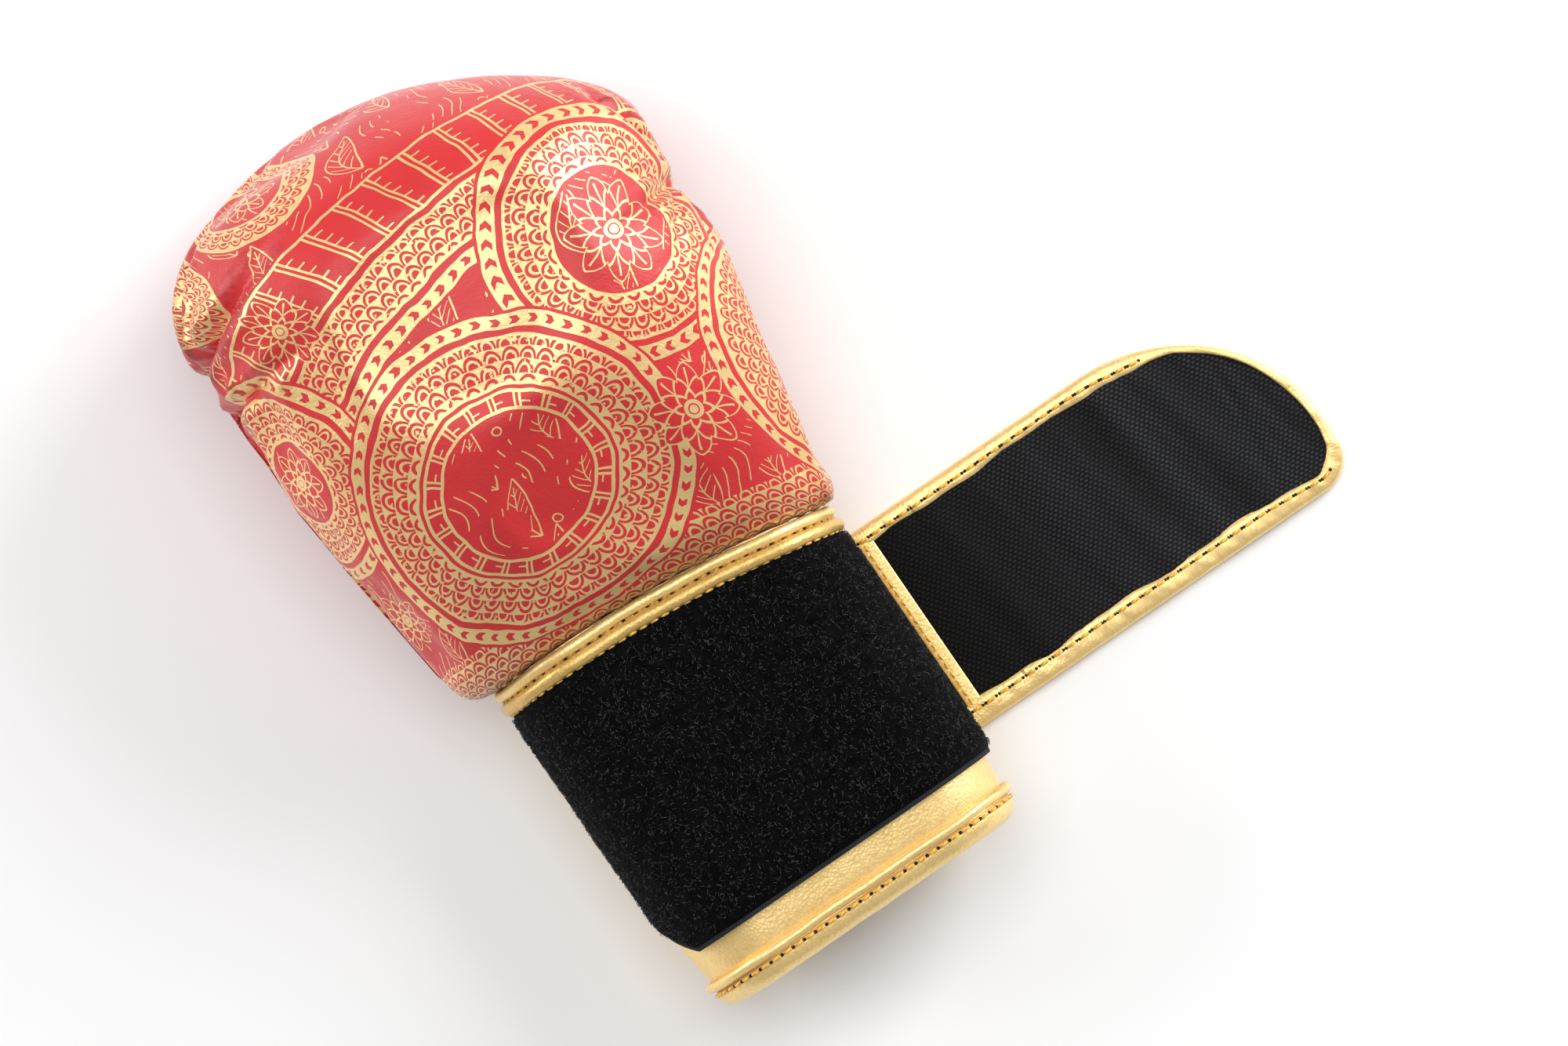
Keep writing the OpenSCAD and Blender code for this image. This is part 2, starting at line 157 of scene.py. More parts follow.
THUMB_R = 16.5
THUMB_LEN = 103.0
THUMB_Y = thumb_low[1]
THUMB_X = -57.7
THUMB_BOW = 3.0

STRAP_T = root_high[2]
HALF_STRAP = root_high[1]
STRAP_TIP = tip_high[0]
TIP_ROUND_X = 58.5
TIP_MID_Y = -15.0
TIP_CORNER = 12.0
UPPER_TRIM = 6.0
LOWER_TRIM = 8.0
fold_x = sorted(j["pos_m"][0] / MM for j in frame["record"]["behaviour"]["joints"])
FOLD_STEP = fold_x[1] - fold_x[0]
# The strap is cut half way between two fold lines, where its pieces meet without turning.
cut_x = [fold_x[0] - FOLD_STEP / 2] + [x + FOLD_STEP / 2 for x in fold_x[:3]] + [STRAP_TIP]

# ---------------------------------------------------------------- curves and surfaces


def cosd(a):
    return np.cos(np.radians(a))


def sind(a):
    return np.sin(np.radians(a))


def stacked(*parts):
    """Coordinates of any shapes that fit each other, as one array of points."""
    return np.stack(np.broadcast_arrays(*parts), -1)


def round_turn(count):
    """Angles spaced evenly round a circle."""
    return np.linspace(0, 2 * math.pi, count, endpoint=False)


def smooth(t):
    u = np.clip(t, 0, 1)
    return u * u * (3 - 2 * u)


def ease(t, power):
    return 1 - (1 - np.clip(t, 0, 1)) ** power


def signed_pow(a, power):
    return np.sign(a) * np.abs(a) ** power


def unit(v):
    return v / np.maximum(np.linalg.norm(v, axis=-1, keepdims=True), 1e-9)


def welt_line(x):
    u = x / CUFF_HALF
    return -WELT_SLANT * u - WELT_BOW * u * u


def seam_shift(x, s):
    return welt_line(np.clip(x, -SEAM_W - 2, SEAM_W + 2)) * (1 - smooth(2.2 * s))


def station_y(s):
    return np.where(s <= 1, START_Y + s * (DOME_Y - START_Y),
                    DOME_Y + DOME_LEN * sind(90 * (np.clip(s, 1, 2) - 1)))


def station_at(y):
    """The station whose ring lies at y."""
    if y <= DOME_Y:
        return (y - START_Y) / (DOME_Y - START_Y)
    return 1 + math.degrees(math.asin(min(1, (y - DOME_Y) / DOME_LEN))) / 90


def skin_point(s, a):
    """The fist's skin at station s (0 at the cuff, 1 where the front begins, 2 foremost) and angle a."""
    s, a = np.broadcast_arrays(np.asarray(s, float), np.asarray(a, float))
    k = np.where(s <= 1, 1, cosd(90 * (np.clip(s, 1, 2) - 1)))
    y = station_y(s)
    corner_t = np.clip(s / CORNER_S, 0, 1)
    corner = np.sqrt(corner_t * (2 - corner_t))
    right = SEAM_W + STEP_RIGHT * corner + (FIST_RIGHT - SEAM_W - STEP_RIGHT) * ease((s - 0.07) / 0.62, 1.4)
    left = SEAM_W + STEP_LEFT * corner + (FIST_LEFT - SEAM_W - STEP_LEFT) * np.clip((s - 0.05) / 0.62, 0, 1)
    top = SEAM_TOP + STEP_TOP * corner + (FIST_TOP - SEAM_TOP - STEP_TOP) * ease((s - 0.03) / 0.75, 2)
    level = np.where(s <= 1, AXIS_Z + (FIST_LEVEL - AXIS_Z) * smooth(2 * s),
                     FIST_LEVEL - 10 * smooth(s - 1))
    bay = smooth((y - 57) / 20) * (1 - smooth((y - 184) / 25))
    low = (3 * (1 - smooth((y - 90) / 60)) + CREASE_DEPTH * np.exp(-((y - CREASE_Y) / CREASE_W) ** 2)
           + 1.5 * (1 - np.clip(s / 0.15, 0, 1)))
    cx = -FRONT_DRIFT * smooth((y - DOME_Y) / (0.9 * DOME_LEN))
    c, q = cosd(a), sind(a)
    n = np.where(q > 0, ROUND_TOP, np.where(c < 0, ROUND_UNDER - 1.5 * bay, ROUND_UNDER))
    base = np.where(q < 0, -THUMB_BAY * bay, 0)
    reach = np.where(c < 0, left + base, right - base)
    x = cx + k * (base + reach * signed_pow(c, 2 / n))
    h = np.where(q < 0, level - low, top - level)
    z = level + k * h * signed_pow(q, 2 / n)
    return np.stack([x, y + seam_shift(x, s), z], -1)


def skin_normal(s, a):
    s, a = np.broadcast_arrays(np.asarray(s, float), np.asarray(a, float))
    along = skin_point(np.minimum(s + 0.01, 1.999), a) - skin_point(s - 0.01, a)
    around = skin_point(s, a + 2) - skin_point(s, a - 2)
    return -unit(np.cross(around, along))


def hand_point(s, a, inset):
    """The hand compartment's wall, on the same stations."""
    y = START_Y + s * (HAND_END - START_Y)
    w = HAND_HALF_W - 3 * s - inset
    h = HAND_HALF_H - inset
    x = 3 * smooth(3 * s) + w * signed_pow(cosd(a), 2 / 2.6)
    z = AXIS_Z + HAND_RISE * smooth(1.5 * s) + h * signed_pow(sind(a), 2 / 2.6)
    return np.stack([x, y + seam_shift(x, s), z], -1)


def cuff_point(cx, a, inset, y, share):
    """The cuff at a round angle a about the arc centre cx, set in from the leather's outside."""
    c, q = cosd(a), sind(a)
    x = cx + (SIDE_R - inset) * c
    half = np.where(q > 0, CUFF_UP, CUFF_DOWN)
    return np.stack([x, y + share * welt_line(x), AXIS_Z + (half - inset) * q], -1)


def taper(y):
    return HEM_TAPER * np.clip((TAPER_Y - y) / (TAPER_Y + CUFF_REACH), 0, 1)


def cuff_stations(step=1.6, slit=True):
    """Arc centres and angles round the cuff about step apart, from one side of the palm slit to the other."""
    right, left = gusset_high[0] + FIT, gusset_low[0] - FIT
    arc = max(8, round(math.pi * SIDE_R / step))
    low = max(2, round((CUFF_FLAT - right) / step))
    top = max(4, round(2 * CUFF_FLAT / step))
    back = max(2, round((left + CUFF_FLAT) / step))
    parts = [(np.linspace(right, CUFF_FLAT, low, endpoint=False), np.full(low, -90.0)),
             (np.full(arc, CUFF_FLAT), np.linspace(-90, 90, arc, endpoint=False)),
             (np.linspace(CUFF_FLAT, -CUFF_FLAT, top, endpoint=False), np.full(top, 90.0)),
             (np.full(arc, -CUFF_FLAT), np.linspace(90, 270, arc, endpoint=False)),
             (np.linspace(-CUFF_FLAT, left, back + 1), np.full(back + 1, 270.0))]
    if not slit:
        gap = max(2, round((right - left) / step))
        parts.append((np.linspace(left, right, gap, endpoint=False)[1:], np.full(gap - 1, 270.0)))
    return np.concatenate([p[0] for p in parts]), np.concatenate([p[1] for p in parts])


def lengths(points):
    """Distance along a row of points."""
    steps = np.linalg.norm(np.diff(points, axis=0), axis=-1)
    return np.concatenate([np.zeros((1,) + steps.shape[1:]), np.cumsum(steps, axis=0)])


def rough(points, size, seed=0.0, octaves=3):
    """Soft noise from -1 to 1 at each point, with hills about size across."""
    flat = points.reshape(-1, 3) / size + seed
    made = [noise.fractal(Vector(p), 0.9, 2.0, octaves) for p in flat]
    return np.array(made).reshape(points.shape[:-1])


# ---------------------------------------------------------------- mesh building


class Solid:
    """Collects the points, faces and flat coordinates of one piece, in millimetres."""

    def __init__(self):
        self.points, self.faces, self.corners, self.count = [], [], [], 0

    def add(self, points):
        ids = self.count + np.arange(len(points))
        self.points.append(points)
        self.count += len(points)
        return ids

    def quads(self, ids, uv, flip=False):
        """Quads over a grid of point numbers and a grid of flat coordinates."""
        q = np.stack([ids[:-1, :-1], ids[:-1, 1:], ids[1:, 1:], ids[1:, :-1]], -1).reshape(-1, 4)
        t = np.stack([uv[:-1, :-1], uv[:-1, 1:], uv[1:, 1:], uv[1:, :-1]], 2).reshape(-1, 4, 2)
        if flip:
            q, t = q[:, ::-1], t[:, ::-1]
        self.faces += q.tolist()
        self.corners.append(t.reshape(-1, 2))

    def grid(self, points, uv, ring=False, flip=False):
        """A sheet of quads over points[row, column]. A ring joins its last column to its first."""
        ids = self.add(points.reshape(-1, 3)).reshape(points.shape[:2])
        used = np.hstack([ids, ids[:, :1]]) if ring else ids
        self.quads(used, uv, flip)
        return ids

    def join(self, a, b, uv, flip=False):
        """A strip of quads between two rows of point numbers."""
        self.quads(np.stack([a, b]), np.stack([uv, uv + [0, 1]]), flip)

    def fan(self, ring, uv, flip=False):
        """Triangles from a ring of point numbers to its middle."""
        points = np.concatenate(self.points)
        middle = self.add(points[ring].mean(axis=0)[None])[0]
        middle_uv = uv.mean(axis=0)
        for k in range(len(ring)):
            n = (k + 1) % len(ring)
            face, corner = [ring[k], ring[n], middle], [uv[k], uv[n], middle_uv]
            self.faces.append((face[::-1] if flip else face))
            self.corners.append(np.array(corner[::-1] if flip else corner))


def wall(outer, inner, uv, ring=False):
    """A closed sheet with thickness between two grids of points."""
    solid = Solid()
    top = solid.grid(outer, uv, ring)
    bottom = solid.grid(inner, uv, ring, flip=True)
    wrap = (lambda r: np.append(r, r[0])) if ring else (lambda r: r)
    solid.join(wrap(top[0]), wrap(bottom[0]), uv[0], flip=True)
    solid.join(wrap(top[-1]), wrap(bottom[-1]), uv[-1])
    if not ring:
        solid.join(top[:, 0], bottom[:, 0], uv[:, 0])
        solid.join(top[:, -1], bottom[:, -1], uv[:, -1], flip=True)
    return solid


def tube(rings, uv=None, closed=False):
    """A solid through rings[place, corner], with a fan at each end or joined to itself."""
    around = np.concatenate([rings, rings[:, :1]], axis=1)
    if uv is None:
        across = lengths(around.mean(axis=0))
        along = lengths(rings.mean(axis=1))
        uv = stacked(along[:, None], across[None, :])
    solid = Solid()
    if closed:
        ids = solid.add(rings.reshape(-1, 3)).reshape(rings.shape[:2])
        ids = np.hstack([ids, ids[:, :1]])
        ids = np.vstack([ids, ids[:1]])
        last = uv[-1:] + (uv[-1:] - uv[-2:-1])
        solid.quads(ids, np.vstack([uv, last]))
    else:
        ids = solid.grid(rings, uv, ring=True)
        solid.fan(ids[0], uv[0, :-1], flip=True)
        solid.fan(ids[-1], uv[-1, :-1])
    return solid


def piece(name, solid, material, stands_for=(), sharp=50, blend=None):
    """Makes the Blender object of a solid, gives it its finish, and lets it ride on the glove's body unless
    blend is given, when its place is only baked into its points.
    """
    mesh = bpy.data.meshes.new(name)
    mesh.from_pydata((np.concatenate(solid.points) * MM).tolist(), [], solid.faces)
    layer = mesh.uv_layers.new(name="mm")
    layer.data.foreach_set("uv", np.concatenate(solid.corners).astype(np.float32).ravel())
    mesh.shade_smooth()
    mesh.set_sharp_from_angle(angle=math.radians(sharp))
    mesh.materials.append(material)
    obj = bpy.data.objects.new(name, mesh)
    scene.collection.objects.link(obj)
    if stands_for:
        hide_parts(*stands_for)
    if blend is None:
        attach(obj, "glove")
    else:
        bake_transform(obj)
    return obj


# ---------------------------------------------------------------- material building


class Field:
    """A number that a material works out at each point, so that a pattern reads as a formula."""

    def __init__(self, tree, socket):
        self.tree, self.socket = tree, socket

    def op(self, name, *others):
        node = self.tree.nodes.new("ShaderNodeMath")
        node.operation = name
        for value, socket in zip((self,) + others, node.inputs):
            if isinstance(value, Field):
                self.tree.links.new(value.socket, socket)
            else:
                socket.default_value = value
        return Field(self.tree, node.outputs[0])

    def over(self, below, where):
        """This field where the mask is 1, and the other elsewhere."""
        return where.op("MULTIPLY_ADD", self - below, below)

    def between(self, low, high):
        """1 where this number lies between low and high."""
        return abs(self - (low + high) / 2) < (high - low) / 2


def operator(name, *fixed):
    """A method that runs one kind of math node, with its last inputs fixed."""
    return lambda self, *others: self.op(name, *others, *fixed)


OPERATORS = {
    "__add__": ("ADD",), "__sub__": ("SUBTRACT",), "__mul__": ("MULTIPLY",), "__truediv__": ("DIVIDE",),
    "__lt__": ("LESS_THAN",), "__gt__": ("GREATER_THAN",), "__and__": ("MULTIPLY",), "__or__": ("MAXIMUM",),
    "__invert__": ("MULTIPLY_ADD", -1.0, 1.0), "__abs__": ("ABSOLUTE",), "mod": ("FLOORED_MODULO",),
    "sin": ("SINE",), "floor": ("FLOOR",), "root": ("SQRT",), "power": ("POWER",)}
for method, work in OPERATORS.items():
    setattr(Field, method, operator(*work))


class Material:
    """A node material with short ways to add what this object's materials share."""

    def __init__(self, name, **values):
        self.made = bpy.data.materials.new(name)
        self.made.use_nodes = True
        self.tree = self.made.node_tree
        self.shader = next(n for n in self.tree.nodes if n.type == "BSDF_PRINCIPLED")
        for key, value in values.items():
            self.shader.inputs[key.replace("_", " ")].default_value = value
        flat = self.tree.nodes.new("ShaderNodeUVMap")
        flat.uv_map = "mm"
        self.flat = flat.outputs[0]
        self.bumped = None

    def link(self, value, socket):
        self.tree.links.new(value.socket if isinstance(value, Field) else value, socket)

    def node(self, kind, output, links, **numbers):
        """A new node's output, with links = {input: field or socket} and its other inputs set to numbers."""
        node = self.tree.nodes.new("ShaderNode" + kind)
        for key, value in numbers.items():
            node.inputs[key.replace("_", " ")].default_value = value
        for key, value in links.items():
            self.link(value, node.inputs[key])
        return node.outputs[output]

    def field(self, *call, **numbers):
        return Field(self.tree, self.node(*call, **numbers))

    def uv(self):
        """The flat coordinates in millimetres as two fields."""
        return [self.field("SeparateXYZ", k, {0: self.flat}) for k in (0, 1)]

    def vector(self, x, y):
        return self.node("CombineXYZ", 0, {0: x, 1: y})

    def noise(self, size, detail=3.0, vector=None, distortion=0.0):
        return self.field("TexNoise", 0, {"Vector": vector or self.flat}, Scale=1.0 / size, Detail=detail,
                          Distortion=distortion)

    def cells(self, size):
        return self.field("TexVoronoi", "Distance", {"Vector": self.flat}, Scale=1.0 / size)

    def spread(self, field, low, high, new_low=0.0, new_high=1.0):
        """The field moved from one range to another, and kept inside it."""
        return self.field("MapRange", 0, {"Value": field}, From_Min=low, From_Max=high, To_Min=new_low,
                          To_Max=new_high)

    def mix(self, a, b, share):
        """A colour between two colours or colour sockets."""
        node = self.tree.nodes.new("ShaderNodeMix")
        node.data_type = "RGBA"
        self.link(share, node.inputs[0])
        for value, socket in ((a, node.inputs[6]), (b, node.inputs[7])):
            if isinstance(value, tuple):
                socket.default_value = (*value, 1)
            else:
                self.link(value, socket)
        return node.outputs[2]

    def bump(self, height, depth_mm):
        below = {"Normal": self.bumped} if self.bumped is not None else {}
        self.bumped = self.node("Bump", 0, {"Height": height, **below}, Strength=1.0, Distance=depth_mm * MM)
        self.link(self.bumped, self.shader.inputs["Normal"])

    def hollows(self):
        """About 0.5 on smooth leather, and less the deeper a crease is."""
        return self.field("NewGeometry", "Pointiness", {})

    def colour(self, value):
        self.link(value, self.shader.inputs["Base Color"])

    def rough(self, value):
        self.link(value, self.shader.inputs["Roughness"])


def grain(material, size, depth, waves=0.35):
    """The pebbled grain of leather with fine creases in it."""
    material.bump(material.cells(size), depth)
    material.bump(material.noise(size * 0.35, 2.0), depth * 0.35)
    material.bump(material.noise(9.0, 4.0, distortion=0.6), waves)


# ---------------------------------------------------------------- the printed ornament


def scales(x_cells, y, pitch, row):
    """Rows of scales, each a red half disc under a red arc. x_cells(n) is the place in cells on row n."""
    number = (y / row).floor()
    cell, across = x_cells(number)
    xx = abs((cell + number.mod(2.0) * 0.5).mod(1.0) - 0.5) * across
    yy = (y - number * row) * 0.7
    r = (xx * xx + yy * yy).root()
    arc = abs(r - pitch * 0.425) < pitch * 0.068
    dot = r < pitch * 0.25
    return arc | dot


def ladder(x, y, step=9.5):
    """A red band with double gold cross lines and a fringe of gold ticks."""
    c = x.mod(step)
    lines = c.between(0.0, 0.9) | c.between(2.0, 2.9)
    ticks = (y.mod(3.7) < 0.55) & c.between(2.9, 5.8)
    return ~(lines | ticks)


def chevrons(x, y, width, step=6.0):
    """Red teardrops that follow each other along a gold band."""
    off = abs(y - width / 2)
    c = (x + off * 0.9).mod(step)
    return c.between(0.6, 2.9) & (off < width * 0.36)


# Centres of the ornament's rings on the flattened leather: towards the thumb, and along the hand.
ARCH = (-30.0, -30.0)
MAIN_RING = (16.0, 66.0)
RIGHT_RING = (-56.0, 118.0)
LEFT_RING = (86.0, 108.0)
SIDE_RING = (-104.0, 56.0)
TIP_RING = (24.0, 212.0)
EDGE_RING = (77.0, 184.0)


def gold_print(material):
    """The share of red at each point of the printed leather: a generic ornament of overlapping bands."""
    u, v = material.uv()
    u = u + (material.noise(22.0, 2.0) - 0.5) * 5.0
    v = v + (material.noise(17.0, 2.0) - 0.5) * 4.0
    broken = material.noise(2.4, 2.0)
    tau = 2 * math.pi

    def polar(centre):
        """Distance from a centre, and turn about it as a share of a whole one."""
        du, dv = u - centre[0], v - centre[1]
        return (du * du + dv * dv).root(), dv.op("ARCTAN2", du) / tau

    def ground(width=25.0, length=23.0):
        """Red with thin gold lines: rows of veined leaves, wavy strokes between them, and small rings."""
        row = (v / length).floor()
        y = v - row * length
        t = y / length
        x = (u / width + row.mod(2.0) * 0.5 + row * 0.37).mod(1.0) * width - width / 2
        half = (t * math.pi).sin() * (t * -0.5 + 1.0) * 7.0
        side = abs(x - (t * 4.4).sin() * 2.8)
        leaf = (abs(side - half) < 0.3) | ((side < 0.24) & (t < 0.86))
        leaf = leaf | ((((y - side * 1.15) / 3.3).mod(1.0) < 0.14) & (side < half * 0.8) & (t < 0.8))
        bend = (v * 0.21).sin() * 3.5 + (v * 0.07).sin() * 8.0
        tuft = material.noise(24.0, 0.0) > 0.47
        strokes = abs(((u + bend) / 4.3).mod(1.0) - 0.5) < 0.055
        strokes = strokes & tuft & ((v / 17.0 + u / 29.0).mod(1.0) < 0.7) & (side > half + 1.6)
        cu, cv = u.mod(23.0) - 11.5, v.mod(19.0) - 9.5
        rings = abs((cu * cu + cv * cv).root() - 1.5) < 0.25
        return ~((leaf & ~tuft) | strokes | (rings & ~tuft & (side > half)))

    def ring_band(art, centre, inner, outer, fill, edge=1.1):
        """Paints an annulus filled by fill(turn, across, inner), with a red and a gold line at each edge."""
        r, turn = polar(centre)
        across, width = r - inner, outer - inner
        near = (across < edge) | (across > width - edge)
        gold_line = across.between(edge, edge * 2) | across.between(width - 2 * edge, width - edge)
        ink = (fill(turn, across, inner) & ~gold_line) | near
        return ink.over(art, r.between(inner, outer))

    def scale_fill(pitch=5.4, row=4.3):
        def fill(turn, across, inner):
            def cells(number):
                count = ((number + 0.5) * row + inner).op("MULTIPLY", tau / pitch).op("ROUND")
                return turn * count, pitch
            return scales(cells, across, pitch, row) & (broken > 0.36)
        return fill

    def ladder_fill(step=9.5):
        def fill(turn, across, inner):
            around = round(tau * (inner + 9) / step)
            return ladder(turn * around * step, across, step)
        return fill

    def chevron_fill(width):
        def fill(turn, across, inner):
            around = round(tau * (inner + width / 2) / 6.0)
            return chevrons(turn * around * 6.0, across, width)
        return fill

    def flower(art, centre, size, petals):
        """A rosette of pointed petals in outline on red."""
        r, turn = polar(centre)
        r = r / size
        tooth, tooth_two = (abs((turn * petals + shift).mod(1.0) - 0.5) * 2.0 for shift in (0.0, 0.5))
        rim = tooth.power(1.4) * -0.34 + 0.98
        rim_two = tooth_two.power(1.4) * -0.30 + 0.70
        heart = tooth.power(1.2) * -0.15 + 0.40
        line = 0.62 / size
        outline = ((abs(r - rim) < line) | (abs(r - rim_two) < line * 0.9) | (abs(r - heart) < line)
                   | (abs(r - 0.16) < line))
        veins = (tooth < 0.07) & r.between(0.45, 0.85)
        ink = ~(outline | veins | (r < 0.09))
        return ink.over(art, r < rim)

    red_ground = ground()
    seam_row = scales(lambda n: (u / 6.0, 6.0), v + 20.0, 6.0, 4.7)
    art = seam_row.over(red_ground, v < 25.0)
    # Each ring's centre, its bands from the inside out, the bare disc in them, and the disc's flower.
    rings = [
        (ARCH, [(163.0, 170.0, chevron_fill(7.0)), (170.0, 188.0, scale_fill(5.6, 4.4)),
                (188.0, 212.0, ladder_fill(13.0))], 0, None),
        (TIP_RING, [(15.0, 29.0, scale_fill(4.8, 3.9))], 15.0, (14.0, 8)),
        (EDGE_RING, [(7.0, 24.0, scale_fill(4.8, 3.9))], 7.0, (6.5, 6)),
        (LEFT_RING, [(13.0, 31.0, scale_fill(5.2, 4.2)), (31.0, 38.0, chevron_fill(7.0))], 13.0, (12.5, 8)),
        (RIGHT_RING, [(20.0, 38.0, scale_fill(6.0, 4.6)), (38.0, 46.0, chevron_fill(8.0))], 20.0, (18.0, 9)),
        (SIDE_RING, [(12.0, 40.0, scale_fill()), (40.0, 47.0, chevron_fill(7.0))], 12.0, (11.0, 7)),
        (MAIN_RING, [(32.0, 51.0, scale_fill(6.2, 4.7)), (51.0, 58.0, chevron_fill(7.0))], 25.0, None),
        (MAIN_RING, [(24.0, 33.0, ladder_fill(10.0))], 0, None)]
    for centre, bands, bare, petals in rings:
        for inner, outer, fill in bands:
            art = ring_band(art, centre, inner, outer, fill)
        if bare:
            art = red_ground.over(art, polar(centre)[0] < bare)
        if petals:
            art = flower(art, centre, *petals)
    for centre, size, petals in (((-44.0, 56.0), 16.0, 8), ((86.0, 50.0), 13.0, 8), ((52.0, 150.0), 14.0, 9)):
        art = flower(art, centre, size, petals)
    return art


# ---------------------------------------------------------------- materials

RED = (0.580, 0.024, 0.026)
RED_DEEP = (0.410, 0.010, 0.013)
RED_SHADE = (0.170, 0.004, 0.006)
GOLD_SHADE = (0.400, 0.210, 0.040)
PRINT_GOLD = (0.900, 0.650, 0.305)
PRINT_DEEP = (0.640, 0.410, 0.130)
GOLD = (1.000, 0.730, 0.305)
GOLD_DEEP = (0.800, 0.510, 0.160)


def red_leather(name, printed=False):
    m = Material(name, Coat_Weight=0.18, Coat_Roughness=0.24, Specular_IOR_Level=0.4, Sheen_Weight=0.12,
                 Sheen_Roughness=0.3)
    cloud = m.spread(m.noise(45.0, 3.0), 0.3, 0.7)
    red = m.mix(RED, RED_DEEP, cloud * 0.35)
    hollow = m.spread(m.hollows(), 0.496, 0.46, 0.0, 0.85)
    red = m.mix(red, RED_SHADE, hollow)
    if printed:
        ink = gold_print(m)
        gold = m.mix(m.mix(PRINT_GOLD, PRINT_DEEP, cloud * 0.5), GOLD_SHADE, hollow * 0.8)
        m.colour(m.mix(gold, red, ink))
        m.link(~ink * 0.55, m.shader.inputs["Metallic"])
        m.rough(ink * 0.06 + m.spread(m.noise(6.0, 3.0), 0.3, 0.7, 0.34, 0.44))
        m.bump(~ink, 0.03)
    else:
        m.colour(red)
        m.rough(m.spread(m.noise(6.0, 3.0), 0.3, 0.7, 0.36, 0.47))
    grain(m, 0.9, 0.075)
    return m.made


def gold_leather(name, base=GOLD, deep=GOLD_DEEP, depth=0.1):
    m = Material(name, Metallic=0.55, Coat_Weight=0.15, Coat_Roughness=0.26)
    cloud = m.spread(m.noise(18.0, 4.0), 0.35, 0.7)
    speck = m.spread(m.cells(1.0), 0.0, 0.7)
    m.colour(m.mix(m.mix(base, deep, cloud * 0.22), deep, speck.power(3.0) * 0.3))
    m.rough(m.spread(m.noise(4.0, 3.0), 0.3, 0.7, 0.3, 0.42))
    grain(m, 1.0, depth, waves=0.16)
    return m.made


def pile():
    """The fuzzy loops of the patch on the cuff."""
    m = Material("loop_pile", Sheen_Weight=0.02, Sheen_Roughness=0.5, Specular_IOR_Level=0.04)
    fuzz = m.noise(0.9, 5.0, distortion=1.5)
    tuft = m.noise(3.4, 3.0)
    tone = m.spread(fuzz * 0.6 + tuft * 0.4, 0.42, 0.62)
    m.colour(m.mix((0.0004, 0.0004, 0.0005), (0.0044, 0.0045, 0.0052), tone))
    m.rough(m.spread(fuzz, 0.3, 0.7, 0.75, 0.95))
    m.bump(tuft, 0.7)
    m.bump(fuzz, 0.5)
    return m.made


def fibre():
    m = Material("loop_fibre", Sheen_Weight=0.02, Sheen_Roughness=0.5, Specular_IOR_Level=0.08)
    m.colour(m.mix((0.0010, 0.0010, 0.0013), (0.082, 0.083, 0.090), m.spread(m.noise(1.6, 2.0), 0.38, 0.68)))
    m.rough(m.spread(m.noise(5.0), 0.3, 0.7, 0.5, 0.7))
    return m.made


def woven(name, dark, light, pitch=0.9, depth=0.12, shaded_stretch=None, **values):
    """A cloth of rows of small raised threads. Where a stretch along the cloth is given, painted shade
    darkens the cloth at the stretch's start and fades out towards its end.
    """
    m = Material(name, Specular_IOR_Level=0.14, **values)
    u, v = m.uv()
    row = (v / pitch).floor()
    along = (u / (pitch * 1.6) + row.mod(2.0) * 0.5).mod(1.0) - 0.5
    over = (v / pitch).mod(1.0) - 0.5
    # The raised knobs are painted paler than the gaps between them: painted highlight on the knobs and
    # painted shade in the gaps.
    knob = m.spread((along * along + over * over * 0.8).root(), 0.15, 0.55, 1.0, 0.0)
    # Pale bands across the cloth: painted sheen of its folds. The same bands also set the roughness.
    band = m.spread(m.noise(14.0, 3.0, m.vector(u + v * 0.2, v * 0.1)), 0.36, 0.64)
    tone = band * 0.75 + 0.25
    # Painted shade that fades out along the given stretch.
    if shaded_stretch:
        tone = tone * m.spread(u, *shaded_stretch, 0.12, 1.0)
    m.colour(m.mix(dark, light, knob * tone))
    m.rough(m.spread(band, 0.0, 1.0, 0.6, 0.85))
    m.bump(knob, depth)
    m.bump(m.noise(5.0, 3.0), 0.2)
    return m.made


def thread(name, base, deep):
    """Twisted sewing thread."""
    m = Material(name, Sheen_Weight=0.3, Sheen_Roughness=0.4, Specular_IOR_Level=0.4)
    u, v = m.uv()
    twist = ((u * 0.9 + v * 1.4) * 3.0).sin()
    m.colour(m.mix(base, deep, m.spread(twist, -1.0, 1.0)))
    m.rough(m.spread(twist, -1.0, 1.0, 0.45, 0.65))
    m.bump(twist, 0.06)
    return m.made


def foam():
    m = Material("foam", Specular_IOR_Level=0.2)
    cell = m.cells(1.4)
    m.colour(m.mix((0.82, 0.76, 0.56), (0.62, 0.55, 0.38), m.spread(cell, 0.2, 0.8)))
    m.rough(m.spread(cell, 0.0, 1.0, 0.8, 0.95))
    m.bump(cell, 0.4)
    return m.made


# Dark colour of the discs beside the stitches: painted shade of the needle holes.
def hole():
    m = Material("needle_hole_shade", Specular_IOR_Level=0.1)
    m.colour(m.mix((0.012, 0.008, 0.003), (0.05, 0.03, 0.01), m.noise(1.0)))
    m.rough(m.spread(m.noise(2.0), 0.0, 1.0, 0.8, 1.0))
    return m.made


def floor_finish():
    m = Material("floor")
    m.colour(m.mix((0.90, 0.90, 0.90), (0.86, 0.86, 0.865), m.noise(180.0)))
    m.rough(m.spread(m.noise(60.0), 0.0, 1.0, 0.6, 0.75))
    return m.made


